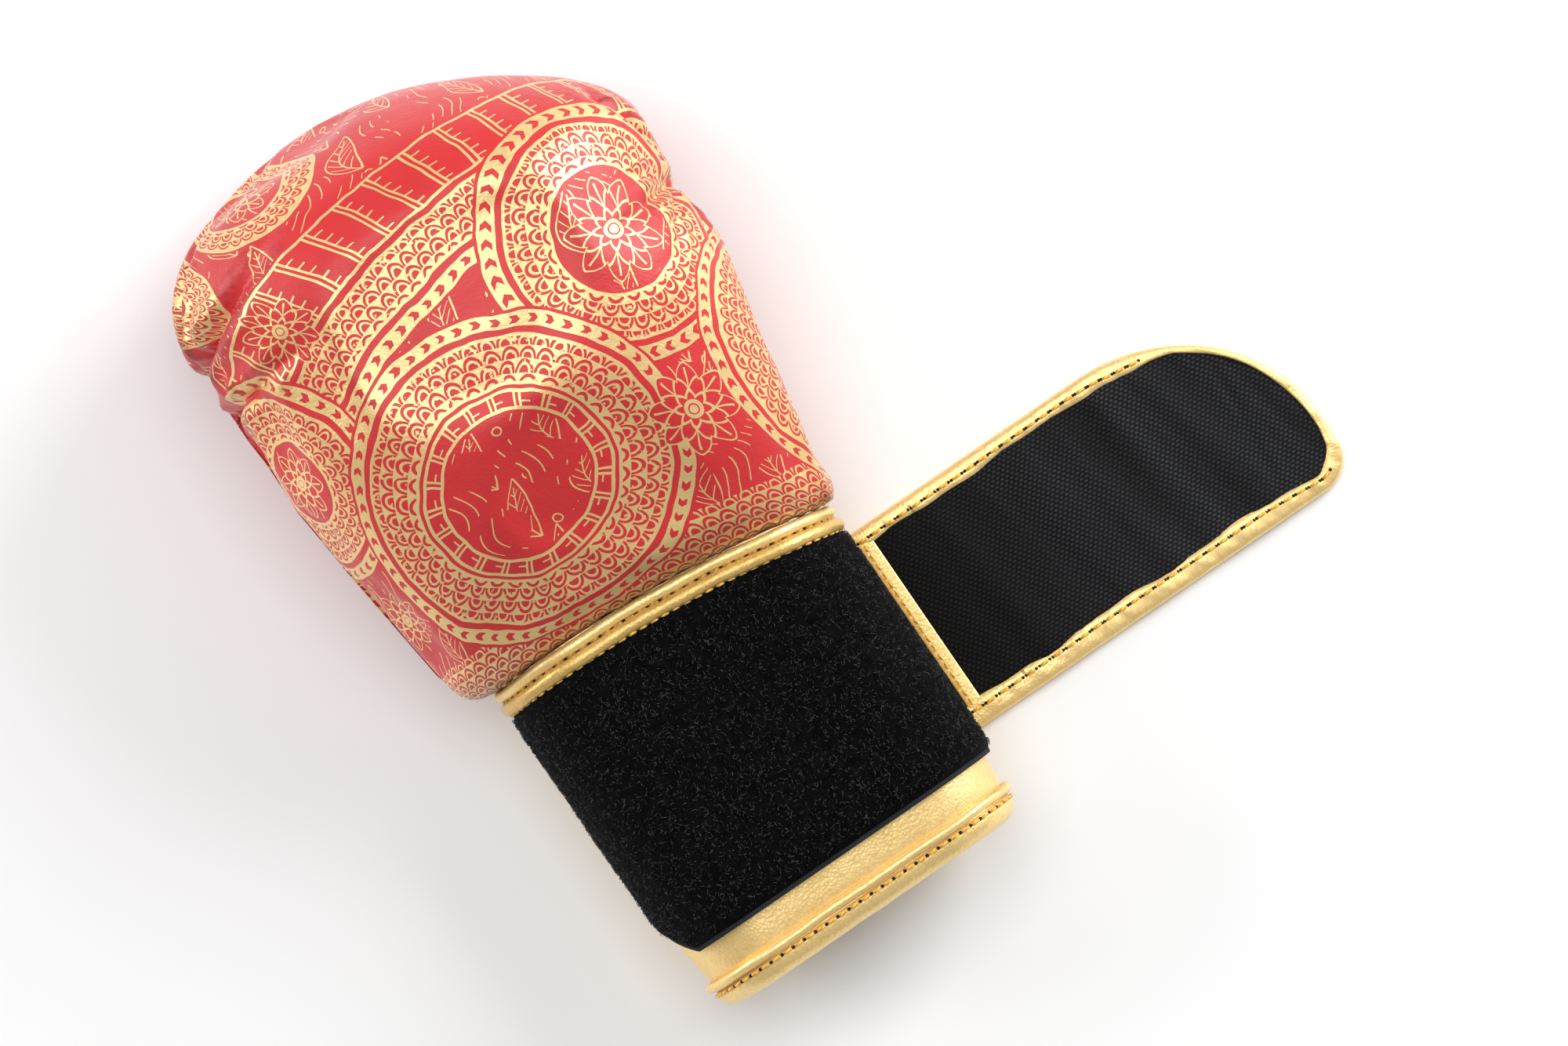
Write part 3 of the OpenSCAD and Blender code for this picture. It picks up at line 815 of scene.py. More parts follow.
PRINTED = red_leather("printed_leather", printed=True)
PLAIN_RED = red_leather("red_leather")
GOLD_LEATHER = gold_leather("gold_leather")
BRONZE = gold_leather("bronze_leather", (0.78, 0.51, 0.16), (0.44, 0.25, 0.06))
PILE = pile()
FIBRE = fibre()
# The hook tape is darkest beside the cuff and lightens towards the tip: painted shade of the cuff.
HOOKS = woven("hook_tape", (0.0008, 0.0008, 0.001), (0.046, 0.048, 0.054), 1.2, 0.3,
              shaded_stretch=(70.0, 135.0))
RIB = woven("ribbed_edge", (0.008, 0.009, 0.011), (0.044, 0.048, 0.058), 0.7, 0.1)
CLOTH = woven("lining_cloth", (0.006, 0.006, 0.007), (0.03, 0.03, 0.034), 0.6, 0.08)
OLIVE = thread("olive_thread", (0.60, 0.38, 0.06), (0.30, 0.18, 0.03))
ORANGE = thread("orange_thread", (1.00, 0.57, 0.07), (0.66, 0.34, 0.03))
RED_THREAD = thread("red_thread", (0.50, 0.03, 0.04), (0.25, 0.01, 0.015))
FOAM = foam()
HOLE_SHADE = hole()

# ---------------------------------------------------------------- stitches

STITCH_SIDES = 6
STITCH_RINGS = 7
HOLE_GAP = 0.25
HOLE_WIDE, HOLE_LONG = 1.05, 1.25


def needle_hole_shade(spots, centre, normal, side, along, r):
    """A dark disc on the leather, HOLE_WIDE by HOLE_LONG times the thread's radius r: painted shade standing
    in for the needle hole.
    """
    turn = round_turn(STITCH_SIDES)
    disc = centre + 0.05 * normal + r * (HOLE_WIDE * np.cos(turn)[:, None] * side
                                         + HOLE_LONG * np.sin(turn)[:, None] * along)
    top, low = spots.add(disc), spots.add(disc - 0.3 * normal)
    flat = disc[:, :2]
    spots.fan(top, flat, flip=True)
    spots.fan(low, flat)
    spots.join(np.append(top, top[0]), np.append(low, low[0]), np.vstack([flat, flat[:1]]), flip=True)


def stitches(name, path, out, material, pitch=3.7, length=2.7, r=0.42, blend=None, lift=0.15,
             closed=False, holes=True):
    """A row of stitches along a path: each dips into the leather at both ends, beside a dark disc of painted
    shade for a needle hole.
    """
    if closed:
        path, out = (np.vstack([rows, rows[:1]]) for rows in (path, out))
    far = lengths(path)
    count = max(1, round(far[-1] / pitch))
    step = far[-1] / count
    middle = (np.arange(count) + 0.5) * step

    def at(d, rows):
        return np.stack([np.interp(d, far, rows[:, k]) for k in range(3)], -1)

    t = np.linspace(-1, 1, STITCH_RINGS)
    width = np.sqrt(np.maximum(1 - t ** 6, 0.02))
    arch = (1 - t * t) * 0.75 * r - 0.35 * r
    solid, spots = Solid(), Solid()
    turn = round_turn(STITCH_SIDES)
    for m in middle:
        normal = unit(at(m, out))
        place = at(m + t * length / 2, path)
        along = unit(place[-1] - place[0])
        side = np.cross(normal, along)
        rings = (place[:, None] + (arch + lift)[:, None, None] * normal
                 + r * width[:, None, None] * (np.cos(turn)[:, None] * side + np.sin(turn)[:, None] * normal))
        uv = stacked((m + t * length / 2)[:, None], np.linspace(0, 2.5, STITCH_SIDES + 1))
        ids = solid.grid(rings, uv, ring=True, flip=True)
        solid.fan(ids[0], uv[0, :-1])
        solid.fan(ids[-1], uv[-1, :-1], flip=True)
        if holes:
            for end in (-1, 1):
                centre = at(m + end * (length / 2 + HOLE_GAP), path)
                needle_hole_shade(spots, centre, normal, side, along, r)
    piece(name, solid, material, blend=blend, sharp=80)
    if holes:
        piece(name + "_holes", spots, HOLE_SHADE, blend=blend)


# ---------------------------------------------------------------- swelling of the fist by a cloth simulation

SWELL_ROWS = np.concatenate([np.linspace(0, 1, 27), np.linspace(1, 1.97, 22)[1:]])
SWELL_STEP = 3.75
SWELL_ANGLES = np.arange(0, 360, SWELL_STEP)
SWELL_CAP = 2.6
SWELL_INSET = 1.4
SWELL_FRAMES = 20
SWELL_SETTINGS = {"use_pressure": True, "uniform_pressure_force": 4, "vertex_group_mass": "seams",
                  "shrink_min": -0.012, "tension_stiffness": 40, "bending_stiffness": 2.0}


def swell_inset(s):
    """How far in the skin starts before the air swells it; nothing at the cuff's seam."""
    return (SWELL_INSET * smooth(s / 0.12))[..., None]


def swell():
    """How far each point of a coarse fist moves when air presses it out between its seams."""
    s, a = np.meshgrid(SWELL_ROWS, SWELL_ANGLES, indexing="ij")
    start = skin_point(s, a) - swell_inset(s) * skin_normal(s, a)
    solid = tube(start)
    mesh = bpy.data.meshes.new("swell")
    mesh.from_pydata((np.concatenate(solid.points) * MM).tolist(), [], solid.faces)
    obj = bpy.data.objects.new("swell", mesh)
    scene.collection.objects.link(obj)
    seam_column = np.minimum(abs(a - (360 - SIDE_A)), abs(a - (180 + SIDE_A))) < 3
    held = (s < 0.03) | seam_column | ((abs(s - SPLIT_S) < 0.02) & (a > 210) & (a < 330))
    group = obj.vertex_groups.new(name="seams")
    group.add(np.flatnonzero(held.ravel()).tolist(), 1.0, "REPLACE")
    cloth = obj.modifiers.new("cloth", "CLOTH")
    cloth.settings.effector_weights.gravity = 0
    for key, value in SWELL_SETTINGS.items():
        setattr(cloth.settings, key, value)
    for number in range(1, SWELL_FRAMES + 1):
        scene.frame_set(number)
    ready = obj.evaluated_get(bpy.context.evaluated_depsgraph_get()).to_mesh()
    moved = np.empty(len(ready.vertices) * 3, np.float32)
    ready.vertices.foreach_get("co", moved)
    moved = moved.reshape(-1, 3)[:start.shape[0] * start.shape[1]].reshape(start.shape) / MM - start
    scene.frame_set(1)
    bpy.data.objects.remove(obj)
    bpy.data.meshes.remove(mesh)
    size = np.linalg.norm(moved, axis=-1, keepdims=True)
    return moved * np.minimum(1, SWELL_CAP / np.maximum(size, 1e-6))


def swell_at(field, s, a):
    """The coarse movement read smoothly at any station and angle."""

    def weights(t):
        return np.stack([(1 - t) ** 3, 3 * t ** 3 - 6 * t ** 2 + 4,
                         -3 * t ** 3 + 3 * t ** 2 + 3 * t + 1, t ** 3]) / 6

    i = np.interp(s, SWELL_ROWS, np.arange(len(SWELL_ROWS)))
    j = (a % 360) / SWELL_STEP
    i0, j0 = np.floor(i).astype(int), np.floor(j).astype(int)
    wi, wj = weights(i - i0), weights(j - j0)
    total = 0
    for m in range(4):
        row = np.clip(i0 + m - 1, 0, len(SWELL_ROWS) - 1)
        for n in range(4):
            total = total + field[row, (j0 + n - 1) % len(SWELL_ANGLES)] * (wi[m] * wj[n])[..., None]
    return total


SWELL = swell()

# Folds of the leather, each a path of (Y, angle, depth) and a width.
FOLDS = [
    # The notch beside the knuckles, its crease over the front and the wrinkles that spread from it.
    ([(150, -38, 1.0), (157, -16, 3.5), (162, 2, 5.5), (161, 20, 4.5), (160, 34, 2.0),
      (160, 46, 0.3)], 7.5),
    ([(205, 12, 0.3), (197, 24, 2.2), (188, 21, 3.6), (177, 16, 4.6), (169, 9, 4.6), (163, 4, 4.6),
      (159, -8, 4.0), (153, -25, 3.0), (145, -45, 1.0)], 3.0),
    ([(162, 14, 2.4), (160, 28, 2.0), (159, 40, 1.0), (158, 52, 0.2)], 1.8),
    ([(161, 12, 2.4), (155, 24, 2.0), (149, 32, 1.1), (141, 39, 0.2)], 1.8),
    ([(160, 8, 2.6), (152, 14, 2.0), (144, 18, 1.1), (136, 21, 0.2)], 1.8),
    ([(163, 16, 1.8), (166, 28, 1.3), (170, 38, 0.2)], 1.7),
    # Creases over the front of the thumb's side, with a pillow between them.
    ([(238, 148, 0.3), (227, 152, 2.4), (216, 158, 4.0), (204, 166, 4.6), (193, 180, 3.8),
      (184, 192, 1.2)], 2.6),
    ([(218, 108, 0.3), (214, 115, 1.8), (207, 131, 4.0), (201, 149, 6.0), (196, 165, 6.4),
      (189, 178, 5.4), (182, 184, 3.6), (175, 188, 1.0)], 2.9),
    ([(183, 122, 0.2), (182, 132, 1.6), (181, 142, 2.6), (180, 152, 3.8), (180, 162, 4.4),
      (178, 175, 2.6), (176, 184, 0.4)], 2.2),
    ([(215, 146, 0.2), (209, 154, 1.4), (200, 160, 1.6), (190, 164, 0.4)], 2.0),
    ([(194, 150, 0.2), (189, 156, 1.4), (184, 160, 1.2), (179, 162, 0.2)], 1.7),
    ([(178, 158, 0.2), (170, 163, 1.3), (162, 168, 1.4), (154, 172, 0.3)], 2.2),
    ([(172, 172, 0.4), (165, 178, 1.6), (156, 188, 1.2), (147, 205, 0.4)], 3.2),
]


def fold_shape(points):
    """How far in each point moves for the folds, and how near it is to one."""
    flat = points.reshape(-1, 3)
    moved, near = np.zeros(len(flat)), np.full(len(flat), 99.0)
    for path, width in FOLDS:
        ys, angles, depths = (np.array(v, float) for v in zip(*path))
        t = np.linspace(0, len(path) - 1, 12 * (len(path) - 1) + 1)
        place = np.arange(len(path))
        soft = [np.interp(t, place, v) for v in (ys, angles, depths)]
        line = skin_point(np.array([station_at(y) for y in soft[0]]), soft[1])
        gap = np.linalg.norm(flat[:, None] - line[None], axis=-1)
        best = gap.argmin(axis=1)
        d, depth = gap[np.arange(len(flat)), best], soft[2][best]
        crease = 0.56 * np.exp(-(d / width) ** 2) + 0.44 * np.exp(-d / (0.35 * width))
        lip = (0.28 if width < 5 else 0.1) * np.exp(-((d - 2.4 * width) / (1.3 * width)) ** 2)
        moved += depth * (crease - lip)
        near = np.minimum(near, d + 6 * (depth < 1.0))
    return moved.reshape(points.shape[:-1]), near.reshape(points.shape[:-1])


# Depths of the crumpled leather near folds, of its broad hills and of the puckers at the welt.
CRUMPLE, CRUMPLE_REACH = 0.42, 11
HILLS = 0.45
PUCKER, PUCKER_REACH = 0.35, 0.035
# A panel's edge dips in at its seam. One degree round the fist is about MM_PER_DEGREE.
EDGE_DIP, EDGE_WIDTH, MM_PER_DEGREE = 1.5, 1.6, 1.35
EDGE_ROLL = 1.8


def fist_surface(s, a, panel_edges=()):
    """The finished skin of the fist and its normals."""
    base, normal = skin_point(s, a), skin_normal(s, a)
    surface = base - swell_inset(s) * normal + swell_at(SWELL, s, a)
    moved, near = fold_shape(base)
    crumple = CRUMPLE * np.exp(-(near / CRUMPLE_REACH) ** 2) * (1 - abs(rough(base, 5.0, 3.0, 2))) ** 2
    hills = HILLS * rough(base, 26.0, 8.0, 2) * smooth(s * 6)
    x = base[..., 0]
    pucker = PUCKER * np.exp(-s / PUCKER_REACH) * np.sin(x * 0.9 + 2 * np.sin(x * 0.23))
    surface = surface - (moved + crumple - hills - pucker)[..., None] * normal
    for edge in panel_edges:
        gap = abs(a - edge) * MM_PER_DEGREE
        surface = surface - (EDGE_DIP * np.exp(-(gap / EDGE_WIDTH) ** 2))[..., None] * normal
    return surface, normal


def arc_flat(points, angles, middle):
    """Flat coordinates of a panel: length across from its middle line, and length along that line."""
    across = lengths(np.swapaxes(points, 0, 1)).T
    at_middle = np.array([np.interp(middle, angles, row) for row in across])
    column = int(np.argmin(abs(angles - middle)))
    along = lengths(points[:, column])
    return np.stack([across - at_middle[:, None], np.broadcast_to(along[:, None], across.shape)], -1)


def spaced(parts):
    """Joined stretches of evenly spaced numbers, each given as (start, end, count)."""
    return np.unique(np.concatenate([np.linspace(*p) for p in parts]))


BACK_EDGES = (-SIDE_A + 0.2, 180 + SIDE_A - 0.2)
UNDER_EDGES = (180 + SIDE_A + 0.2, 360 - SIDE_A - 0.2)
SPLIT_GAP = SEAM / (DOME_Y - START_Y)


def leather_panel(name, s_parts, a_list, middle, material, node):
    """One panel of the fist's leather; its edges turn in where it is sewn to another."""
    s_list = spaced(s_parts)
    s, a = np.meshgrid(s_list, a_list, indexing="ij")
    outer, normal = fist_surface(s, a, (a_list[0], a_list[-1]))
    if node != "back_leather":
        side = s_list[-1] if node == "palm_leather" else s_list[0]
        rolled = EDGE_ROLL * np.exp(-((s - side) * (DOME_Y - START_Y) / EDGE_ROLL) ** 2)
        outer = outer - rolled[..., None] * normal
    uv = arc_flat(skin_point(s, a), a_list, middle)
    made = piece(name, wall(outer, outer - LEATHER * normal, uv), material, (node,), sharp=70)


back_a = spaced([(BACK_EDGES[0], BACK_EDGES[0] + 6, 7), (BACK_EDGES[0] + 6, 38, 84), (38, 125, 48),
                 (125, 204, 104), (204, BACK_EDGES[1], 7)])
under_a = spaced([(UNDER_EDGES[0], UNDER_EDGES[0] + 5, 6), (UNDER_EDGES[0] + 5, UNDER_EDGES[1] - 5, 74),
                  (UNDER_EDGES[1] - 5, UNDER_EDGES[1], 6)])
FINGER_S = SPLIT_S + SPLIT_GAP
leather_panel("fist_back", [(0, CORNER_S, 12), (CORNER_S, 0.6, 44), (0.6, 1.0, 64), (1.0, 1.5, 52),
                            (1.5, TIP_S, 30), (TIP_S, CLOSE_S, 4)], back_a, 90, PRINTED, "back_leather")
leather_panel("fist_palm", [(0, CORNER_S, 9), (CORNER_S, SPLIT_S - 0.06, 38), (SPLIT_S - 0.06, SPLIT_S, 10)],
              under_a, 270, PLAIN_RED, "palm_leather")
leather_panel("fist_fingers", [(FINGER_S, SPLIT_S + 0.06, 10), (SPLIT_S + 0.06, 1.5, 50), (1.5, TIP_S, 22),
                               (TIP_S, CLOSE_S, 4)], under_a, 270, PLAIN_RED, "finger_leather")

# ---------------------------------------------------------------- foam inside the fist

FOAM_INSET = LEATHER + SEAM + 0.5
FOLD_INSET, FOLD_REACH = 3.5, 9.0


def foam_face(s, a):
    """The outer face of the foam: under the leather, and deeper where the leather folds."""
    outer, normal = fist_surface(s, a)
    near = fold_shape(skin_point(s, a))[1]
    inset = FOAM_INSET + FOLD_INSET * np.exp(-(near / FOLD_REACH) ** 2)
    return outer - inset[..., None] * normal


def padding(name, s_low, s_high, edges, node):
    s_list = np.linspace(s_low, s_high, max(8, round((s_high - s_low) * 32)))
    s, a = np.meshgrid(s_list, np.linspace(edges[0] + 0.4, edges[1] - 0.4, 60), indexing="ij")
    outer = foam_face(s, a)
    inner = hand_point(s * (DOME_Y - START_Y) / (HAND_END - START_Y), a, -LINING - SEAM)
    uv = arc_flat(outer, a[0], (edges[0] + edges[1]) / 2)
    piece(name, wall(outer, inner, uv), FOAM, (node,))


padding("foam_back", 0.03, SPLIT_S - 0.004, BACK_EDGES, "back_pad")
padding("foam_knuckles", FINGER_S, 0.985, BACK_EDGES, "knuckle_pad")
padding("foam_palm", 0.03, SPLIT_S - 0.012, UNDER_EDGES, "palm_pad")
padding("foam_fingers", FINGER_S + 0.012, 0.985, UNDER_EDGES, "finger_pad")

front_s, front_a = np.meshgrid(np.linspace(1.045, 1.96, 24), np.arange(0, 360, 5.0), indexing="ij")
piece("foam_front", tube(foam_face(front_s, front_a)), FOAM, ("front_pad",))

# ---------------------------------------------------------------- hand compartment and grip

hand_s, hand_a = np.meshgrid(np.linspace(0, 1, 36), np.arange(0, 360, 4.5), indexing="ij")
crumpled = 0.35 * rough(hand_point(hand_s, hand_a, 0), 16.0, 5.0, 2)
hand_uv = stacked(hand_s[:, :1] * 128, np.linspace(0, 250, 81)[None])
piece("hand_sleeve", wall(hand_point(hand_s, hand_a, -LINING), hand_point(hand_s, hand_a, crumpled * 0.6),
                          hand_uv, ring=True), CLOTH, ("hand_lining",))

grip_mid, (grip_half, _, grip_r) = cad_middle("grip_bar")
grip_x = -grip_half * np.cos(math.pi * np.linspace(0, 1, 44))
grip_end = np.clip((abs(grip_x) - grip_half + grip_r) / grip_r, 0, 0.995)
ridge = 1 - 0.03 * (np.sin(grip_x * 1.4)[:, None] ** 2)
grip_round = grip_r * np.sqrt(1 - grip_end ** 2)[:, None] * ridge
turn = round_turn(28)
grip_rings = stacked(grip_mid[0] + grip_x[:, None], grip_mid[1] + grip_round * np.cos(turn),
                     grip_mid[2] + grip_round * np.sin(turn))
piece("grip_roll", tube(grip_rings), CLOTH, ("grip_bar",))

# ---------------------------------------------------------------- thumb

THUMB_SIDES = 72
THUMB_HEEL = 0.36
HEEL_SHIFT = 9.0
HEEL_SLANT = 1.15
SEAM_COLUMN = 40
# Where the thumb's round end begins, and the share of its length that this end takes.
CAP_T, CAP_SHARE = 0.82, 0.18


def thumb_rings(t, r, crease=0.0):
    """Rings of the thumb from its mouth, which is cut slanting towards the palm, to its round end."""
    heel = np.clip(1 - t / THUMB_HEEL, 0, 1) ** 2
    mid = np.stack([THUMB_X + HEEL_SHIFT * heel - THUMB_BOW * sind(120 * t),
                    THUMB_Y + THUMB_LEN * t, THUMB_R + 1 + 2 * heel], -1)
    body = (1 - 0.5 * heel) * (1 - 0.1 * smooth((t - 0.4) / 0.4))
    width = r * body * np.sqrt(1 - np.clip((t - CAP_T) / CAP_SHARE, 0, 1) ** 2)
    a = round_turn(THUMB_SIDES)
    seam_gap = abs(a - a[SEAM_COLUMN])
    w = width[:, None] * np.ones(THUMB_SIDES) - crease * 1.5 * np.exp(-(seam_gap / 0.11) ** 2)
    w = w - crease * 1.1 * np.exp(-((t[:, None] - 0.52) / 0.018) ** 2) * (0.5 + 0.5 * np.cos(a))
    slant = HEEL_SLANT * heel[:, None] * w * np.cos(a)
    return mid[:, None] + np.stack([w * np.cos(a), slant, w * np.sin(a)], -1)


thumb_t = np.concatenate([np.linspace(0, CAP_T, 72),
                          CAP_T + CAP_SHARE * np.sin(np.linspace(0, 1.45, 24)[1:])])
thumb_outer = thumb_rings(thumb_t, THUMB_R - 0.7, 1.0)
thumb_middle = thumb_outer.mean(axis=1, keepdims=True)
thumb_soft = 0.35 * rough(thumb_outer, 7.0, 2.0, 3) + 0.7 * rough(thumb_outer, 22.0, 6.0, 2)
thumb_outer = thumb_outer + thumb_soft[..., None] * unit(thumb_outer - thumb_middle)
thumb_uv = stacked(thumb_t[:, None] * THUMB_LEN, np.linspace(0, 95, THUMB_SIDES + 1))
thumb_skin = wall(thumb_outer, thumb_rings(thumb_t * 0.985, THUMB_R - LEATHER - 0.5), thumb_uv, ring=True)
piece("thumb_skin", thumb_skin, PLAIN_RED, ("thumb_leather",))
foam_t = np.linspace(0, 0.985, 40)
thumb_foam = wall(thumb_rings(foam_t * 0.983, THUMB_R - LEATHER - 1.2), thumb_rings(foam_t * 0.9, 9.0),
                  thumb_uv[:len(foam_t)], ring=True)
piece("thumb_foam", thumb_foam, FOAM, ("thumb_pad",))
seam_rows = slice(4, 80)
for side, shift in (("in", 2), ("out", -2)):
    column = SEAM_COLUMN + shift
    stitches(f"thumb_stitches_{side}", thumb_outer[seam_rows, column],
             unit(thumb_outer - thumb_middle)[seam_rows, column], RED_THREAD, holes=False)

lock_mid, lock_half = cad_middle("thumb_lock")
lock_x = lock_mid[0] + np.linspace(-1, 1, 24)[:, None] * lock_half[0]
lock_waist = 1 - 0.06 * np.sin(np.linspace(0, math.pi, 24))[:, None]
lock_rings = stacked(lock_x, lock_mid[1] + lock_half[1] * signed_pow(np.cos(turn), 0.35) * lock_waist,
                     lock_mid[2] + lock_half[2] * signed_pow(np.sin(turn), 0.7))
piece("thumb_tie", tube(lock_rings), PLAIN_RED, ("thumb_lock",))

# ---------------------------------------------------------------- cuff

stations = cuff_cx, cuff_a = cuff_stations()
ring_stations = cuff_stations(slit=False)


def cuff_ripple(cx, a, y):
    """Soft hills of the cuff's leather, which what lies on it follows."""
    x = cx + SIDE_R * cosd(a)
    z = SIDE_R * sind(a)
    points = stacked(x, y, z)
    return 0.35 * rough(points, 24.0, 4.0, 2)


def cuff_sheet(y_list, inset_out, inset_in, stations, dents=0.0):
    """A closed sheet round the wrist between two depths, over a list of places along the hand."""
    cx, a = stations
    y = y_list[:, None]
    share = smooth((y - TAPER_Y) / (WELT_Y - TAPER_Y))
    depth = taper(y) - cuff_ripple(cx, a, y)
    dent = dents * np.exp(-((y - PIPING_Y) / 3.0) ** 2)
    outer = cuff_point(cx, a, inset_out + depth + dent, y, share)
    inner = cuff_point(cx, a, inset_in + depth, y, share)
    around = lengths(outer[len(outer) // 2])
    uv = stacked(around[None, :], y_list[:, None])
    return outer, inner, uv


cuff_y = spaced([(-CUFF_REACH, -40, 26), (-40, 44, 36), (44, WELT_Y, 10)])
outer, inner, uv = cuff_sheet(cuff_y, 0.0, LEATHER, stations, dents=0.5)
piece("cuff_shell", wall(outer, inner, uv), GOLD_LEATHER, ("cuff_leather",))
foam_y = np.linspace(-CUFF_REACH, WELT_Y, 30)
outer, inner, uv = cuff_sheet(foam_y, LEATHER + 0.9, CUFF_WALL - LINING - FIT - 0.4, stations)
piece("cuff_foam", wall(outer, inner, uv), FOAM, ("cuff_pad",))

outer, inner, uv = cuff_sheet(foam_y, CUFF_WALL - LINING, CUFF_WALL, ring_stations)
uv = np.concatenate([uv, uv[:, -1:] + [1.6, 0]], axis=1)
piece("cuff_sleeve", wall(outer, inner, uv, ring=True), CLOTH, ("cuff_lining",))

# Elastic gusset in the palm slit, with gathers across it.
gusset_y = np.linspace(-CUFF_REACH, WELT_Y - 1, 120)
gusset_x = np.linspace(gusset_low[0], gusset_high[0], 8)
gusset_z = gusset_low[2] + 0.5 + taper(gusset_y) + 0.3 * np.sin(gusset_y * 2.2)
outer, inner = (stacked(gusset_x, gusset_y[:, None], (gusset_z + depth)[:, None]) for depth in (0, 1.3))
piece("palm_gusset", wall(outer, inner, outer[..., :2]), CLOTH, ("wrist_gusset",))


def cuff_tube(name, inset, y, r, share, stations, material, node, flatten=1.0, closed=False):
    """A leather roll round the wrist."""
    cx, a = stations
    t = round_turn(20)
    place = np.arange(len(cx))
    swing = 0.12 * np.sin(place * 0.31) + 0.1 * np.sin(place * 0.13 + 1.0)
    rr = r * (1 + 0.05 * np.sin(place * 0.7 + 2 * np.sin(place * 0.11)))
    depth = inset - rr[:, None] * np.cos(t) * flatten - cuff_ripple(cx, a, np.full(len(cx), y))[:, None]
    along = y + swing[:, None] + rr[:, None] * np.sin(t)
    rings = cuff_point(cx[:, None], a[:, None], depth, along, share)
    return piece(name, tube(rings, closed=closed), material, (node,), sharp=80)


cuff_tube("welt_narrow", -WELT_UPPER_R * 0.8, WELT_UPPER_Y, WELT_UPPER_R, 1, ring_stations, GOLD_LEATHER,
          "welt_upper", 0.9, closed=True)
cuff_tube("welt_wide", -WELT_LOWER_R * 0.8, WELT_LOWER_Y, WELT_LOWER_R * 1.12, 1, ring_stations, BRONZE,
          "welt_lower", 0.85, closed=True)
cuff_tube("hem_piping_roll", float(taper(PIPING_Y)) - 1.2, PIPING_Y, 1.55, 0, stations, GOLD_LEATHER,
          "hem_piping")

# The hem's roll is folded over the end of the cuff wall.
hem_half = CUFF_WALL / 2
hem_t = np.linspace(-0.08, 1.08, 22) * math.pi
hem_depth = -CUFF_REACH - 2 * FIT - hem_low[1]
hem_soft = 0.35 * rough(np.stack([cuff_cx, np.zeros_like(cuff_cx), cuff_a * 0.6], -1), 9.0, 1.0, 3)
hem_fat = hem_half + 0.9 + hem_soft[:, None] * 0.6
hem_inset = HEM_TAPER + hem_half - hem_fat * np.cos(hem_t) - cuff_ripple(cuff_cx, cuff_a, HEM_Y)[:, None]
hem_y = -CUFF_REACH - 2 * FIT - (hem_depth + 0.5 * hem_soft[:, None]) * np.sin(hem_t)
hem_rings = cuff_point(cuff_cx[:, None], cuff_a[:, None], hem_inset, hem_y, 0)
piece("hem_roll", tube(hem_rings), GOLD_LEATHER, ("hem_binding",), sharp=80)


def cuff_stitches(name, y, inset, share, stations, *thread, **look):
    """A row of stitches round the cuff."""
    cx, a = stations
    line, low, high = (cuff_point(cx, a, depth, y, share)
                       for depth in (inset - cuff_ripple(cx, a, y), inset, inset - 1))
    stitches(name, line, unit(high - low), *thread, **look)


cuff_stitches("hem_stitches", HEM_STITCH_Y, HEM_TAPER - 1.0, 0, stations, ORANGE,
              pitch=4.3, length=3.4, r=0.56, lift=0.35)
cuff_stitches("welt_stitches_upper", WELT_LOWER_Y + 2.6, -0.9, 1, ring_stations, OLIVE,
              pitch=4.4, length=3.5, r=0.5, closed=True, lift=0.55)
cuff_stitches("welt_stitches_lower", WELT_LOWER_Y - 2.2, -1.3, 1, ring_stations, ORANGE,
              pitch=4.0, length=3.1, r=0.5, closed=True, lift=0.5)

# ---------------------------------------------------------------- loop patch

PATCH_DIP = 25
PATCH_T = 2.2
PATCH_ROUND = 7.0
# Height and width of the patch's cut corner.
PATCH_CUT = (20, 32)
fine_cx, fine_a = cuff_stations(0.9)
fine = (fine_a >= -PATCH_DIP) & (fine_a <= 180 + PATCH_DIP)
fine_cx, fine_a = fine_cx[fine], fine_a[fine]
patch_x = fine_cx + SIDE_R * cosd(fine_a)
patch_far = lengths(cuff_point(fine_cx, fine_a, 0.0, 0.0, 0))


def patch_edges():
    """The patch's lower and upper edge at each station, with its corners cut."""
    high = WELT_LOWER_Y - WELT_LOWER_R - FIT + welt_line(patch_x)
    from_left = patch_far[-1] - patch_far
    low = patch_low[1] + PATCH_CUT[0] * np.clip(1 - from_left / PATCH_CUT[1], 0, 1)
    near = np.clip(1 - np.minimum(patch_far, from_left) / PATCH_ROUND, 0, 1)
    high = high - PATCH_ROUND * (1 - np.sqrt(1 - near ** 2)) * 0.9
    return low, high


low_edge, high_edge = patch_edges()
rows = np.linspace(0, 1, 106)[:, None]
patch_y = low_edge + rows * (high_edge - low_edge)
fuzz_points = stacked(patch_far[None], patch_y, 0.0)
edge_gap = np.minimum(np.minimum(rows, 1 - rows) * (high_edge - low_edge),
                      np.minimum(patch_far, patch_far[-1] - patch_far)[None])
fade = smooth(edge_gap / 3.0)
fuzz = (0.32 * rough(fuzz_points, 2.6, 0.0, 3) + 0.22 * rough(fuzz_points, 7.0, 5.0, 2)) * fade
patch_ripple = cuff_ripple(fine_cx, fine_a, patch_y)
patch_height = 1.0 + (PATCH_T - 0.9) * fade ** 0.5 + fuzz
patch_outer = cuff_point(fine_cx, fine_a, -FIT - patch_height - patch_ripple, patch_y, 0.0)
patch_inner = cuff_point(fine_cx, fine_a, -FIT - patch_ripple, patch_y, 0.0)
patch_uv = stacked(patch_far, patch_y)
piece("patch_pile", wall(patch_outer, patch_inner, patch_uv), PILE, ("loop_patch",))

# Curled fibres that stand out of the pile.
FIBRES = 9800
FIBRE_STEPS = 4
FIBRE_R = 0.11
FIBRE_RISE, FIBRE_SINK = 0.62, 0.12
patch_normal = unit(patch_outer - patch_inner)


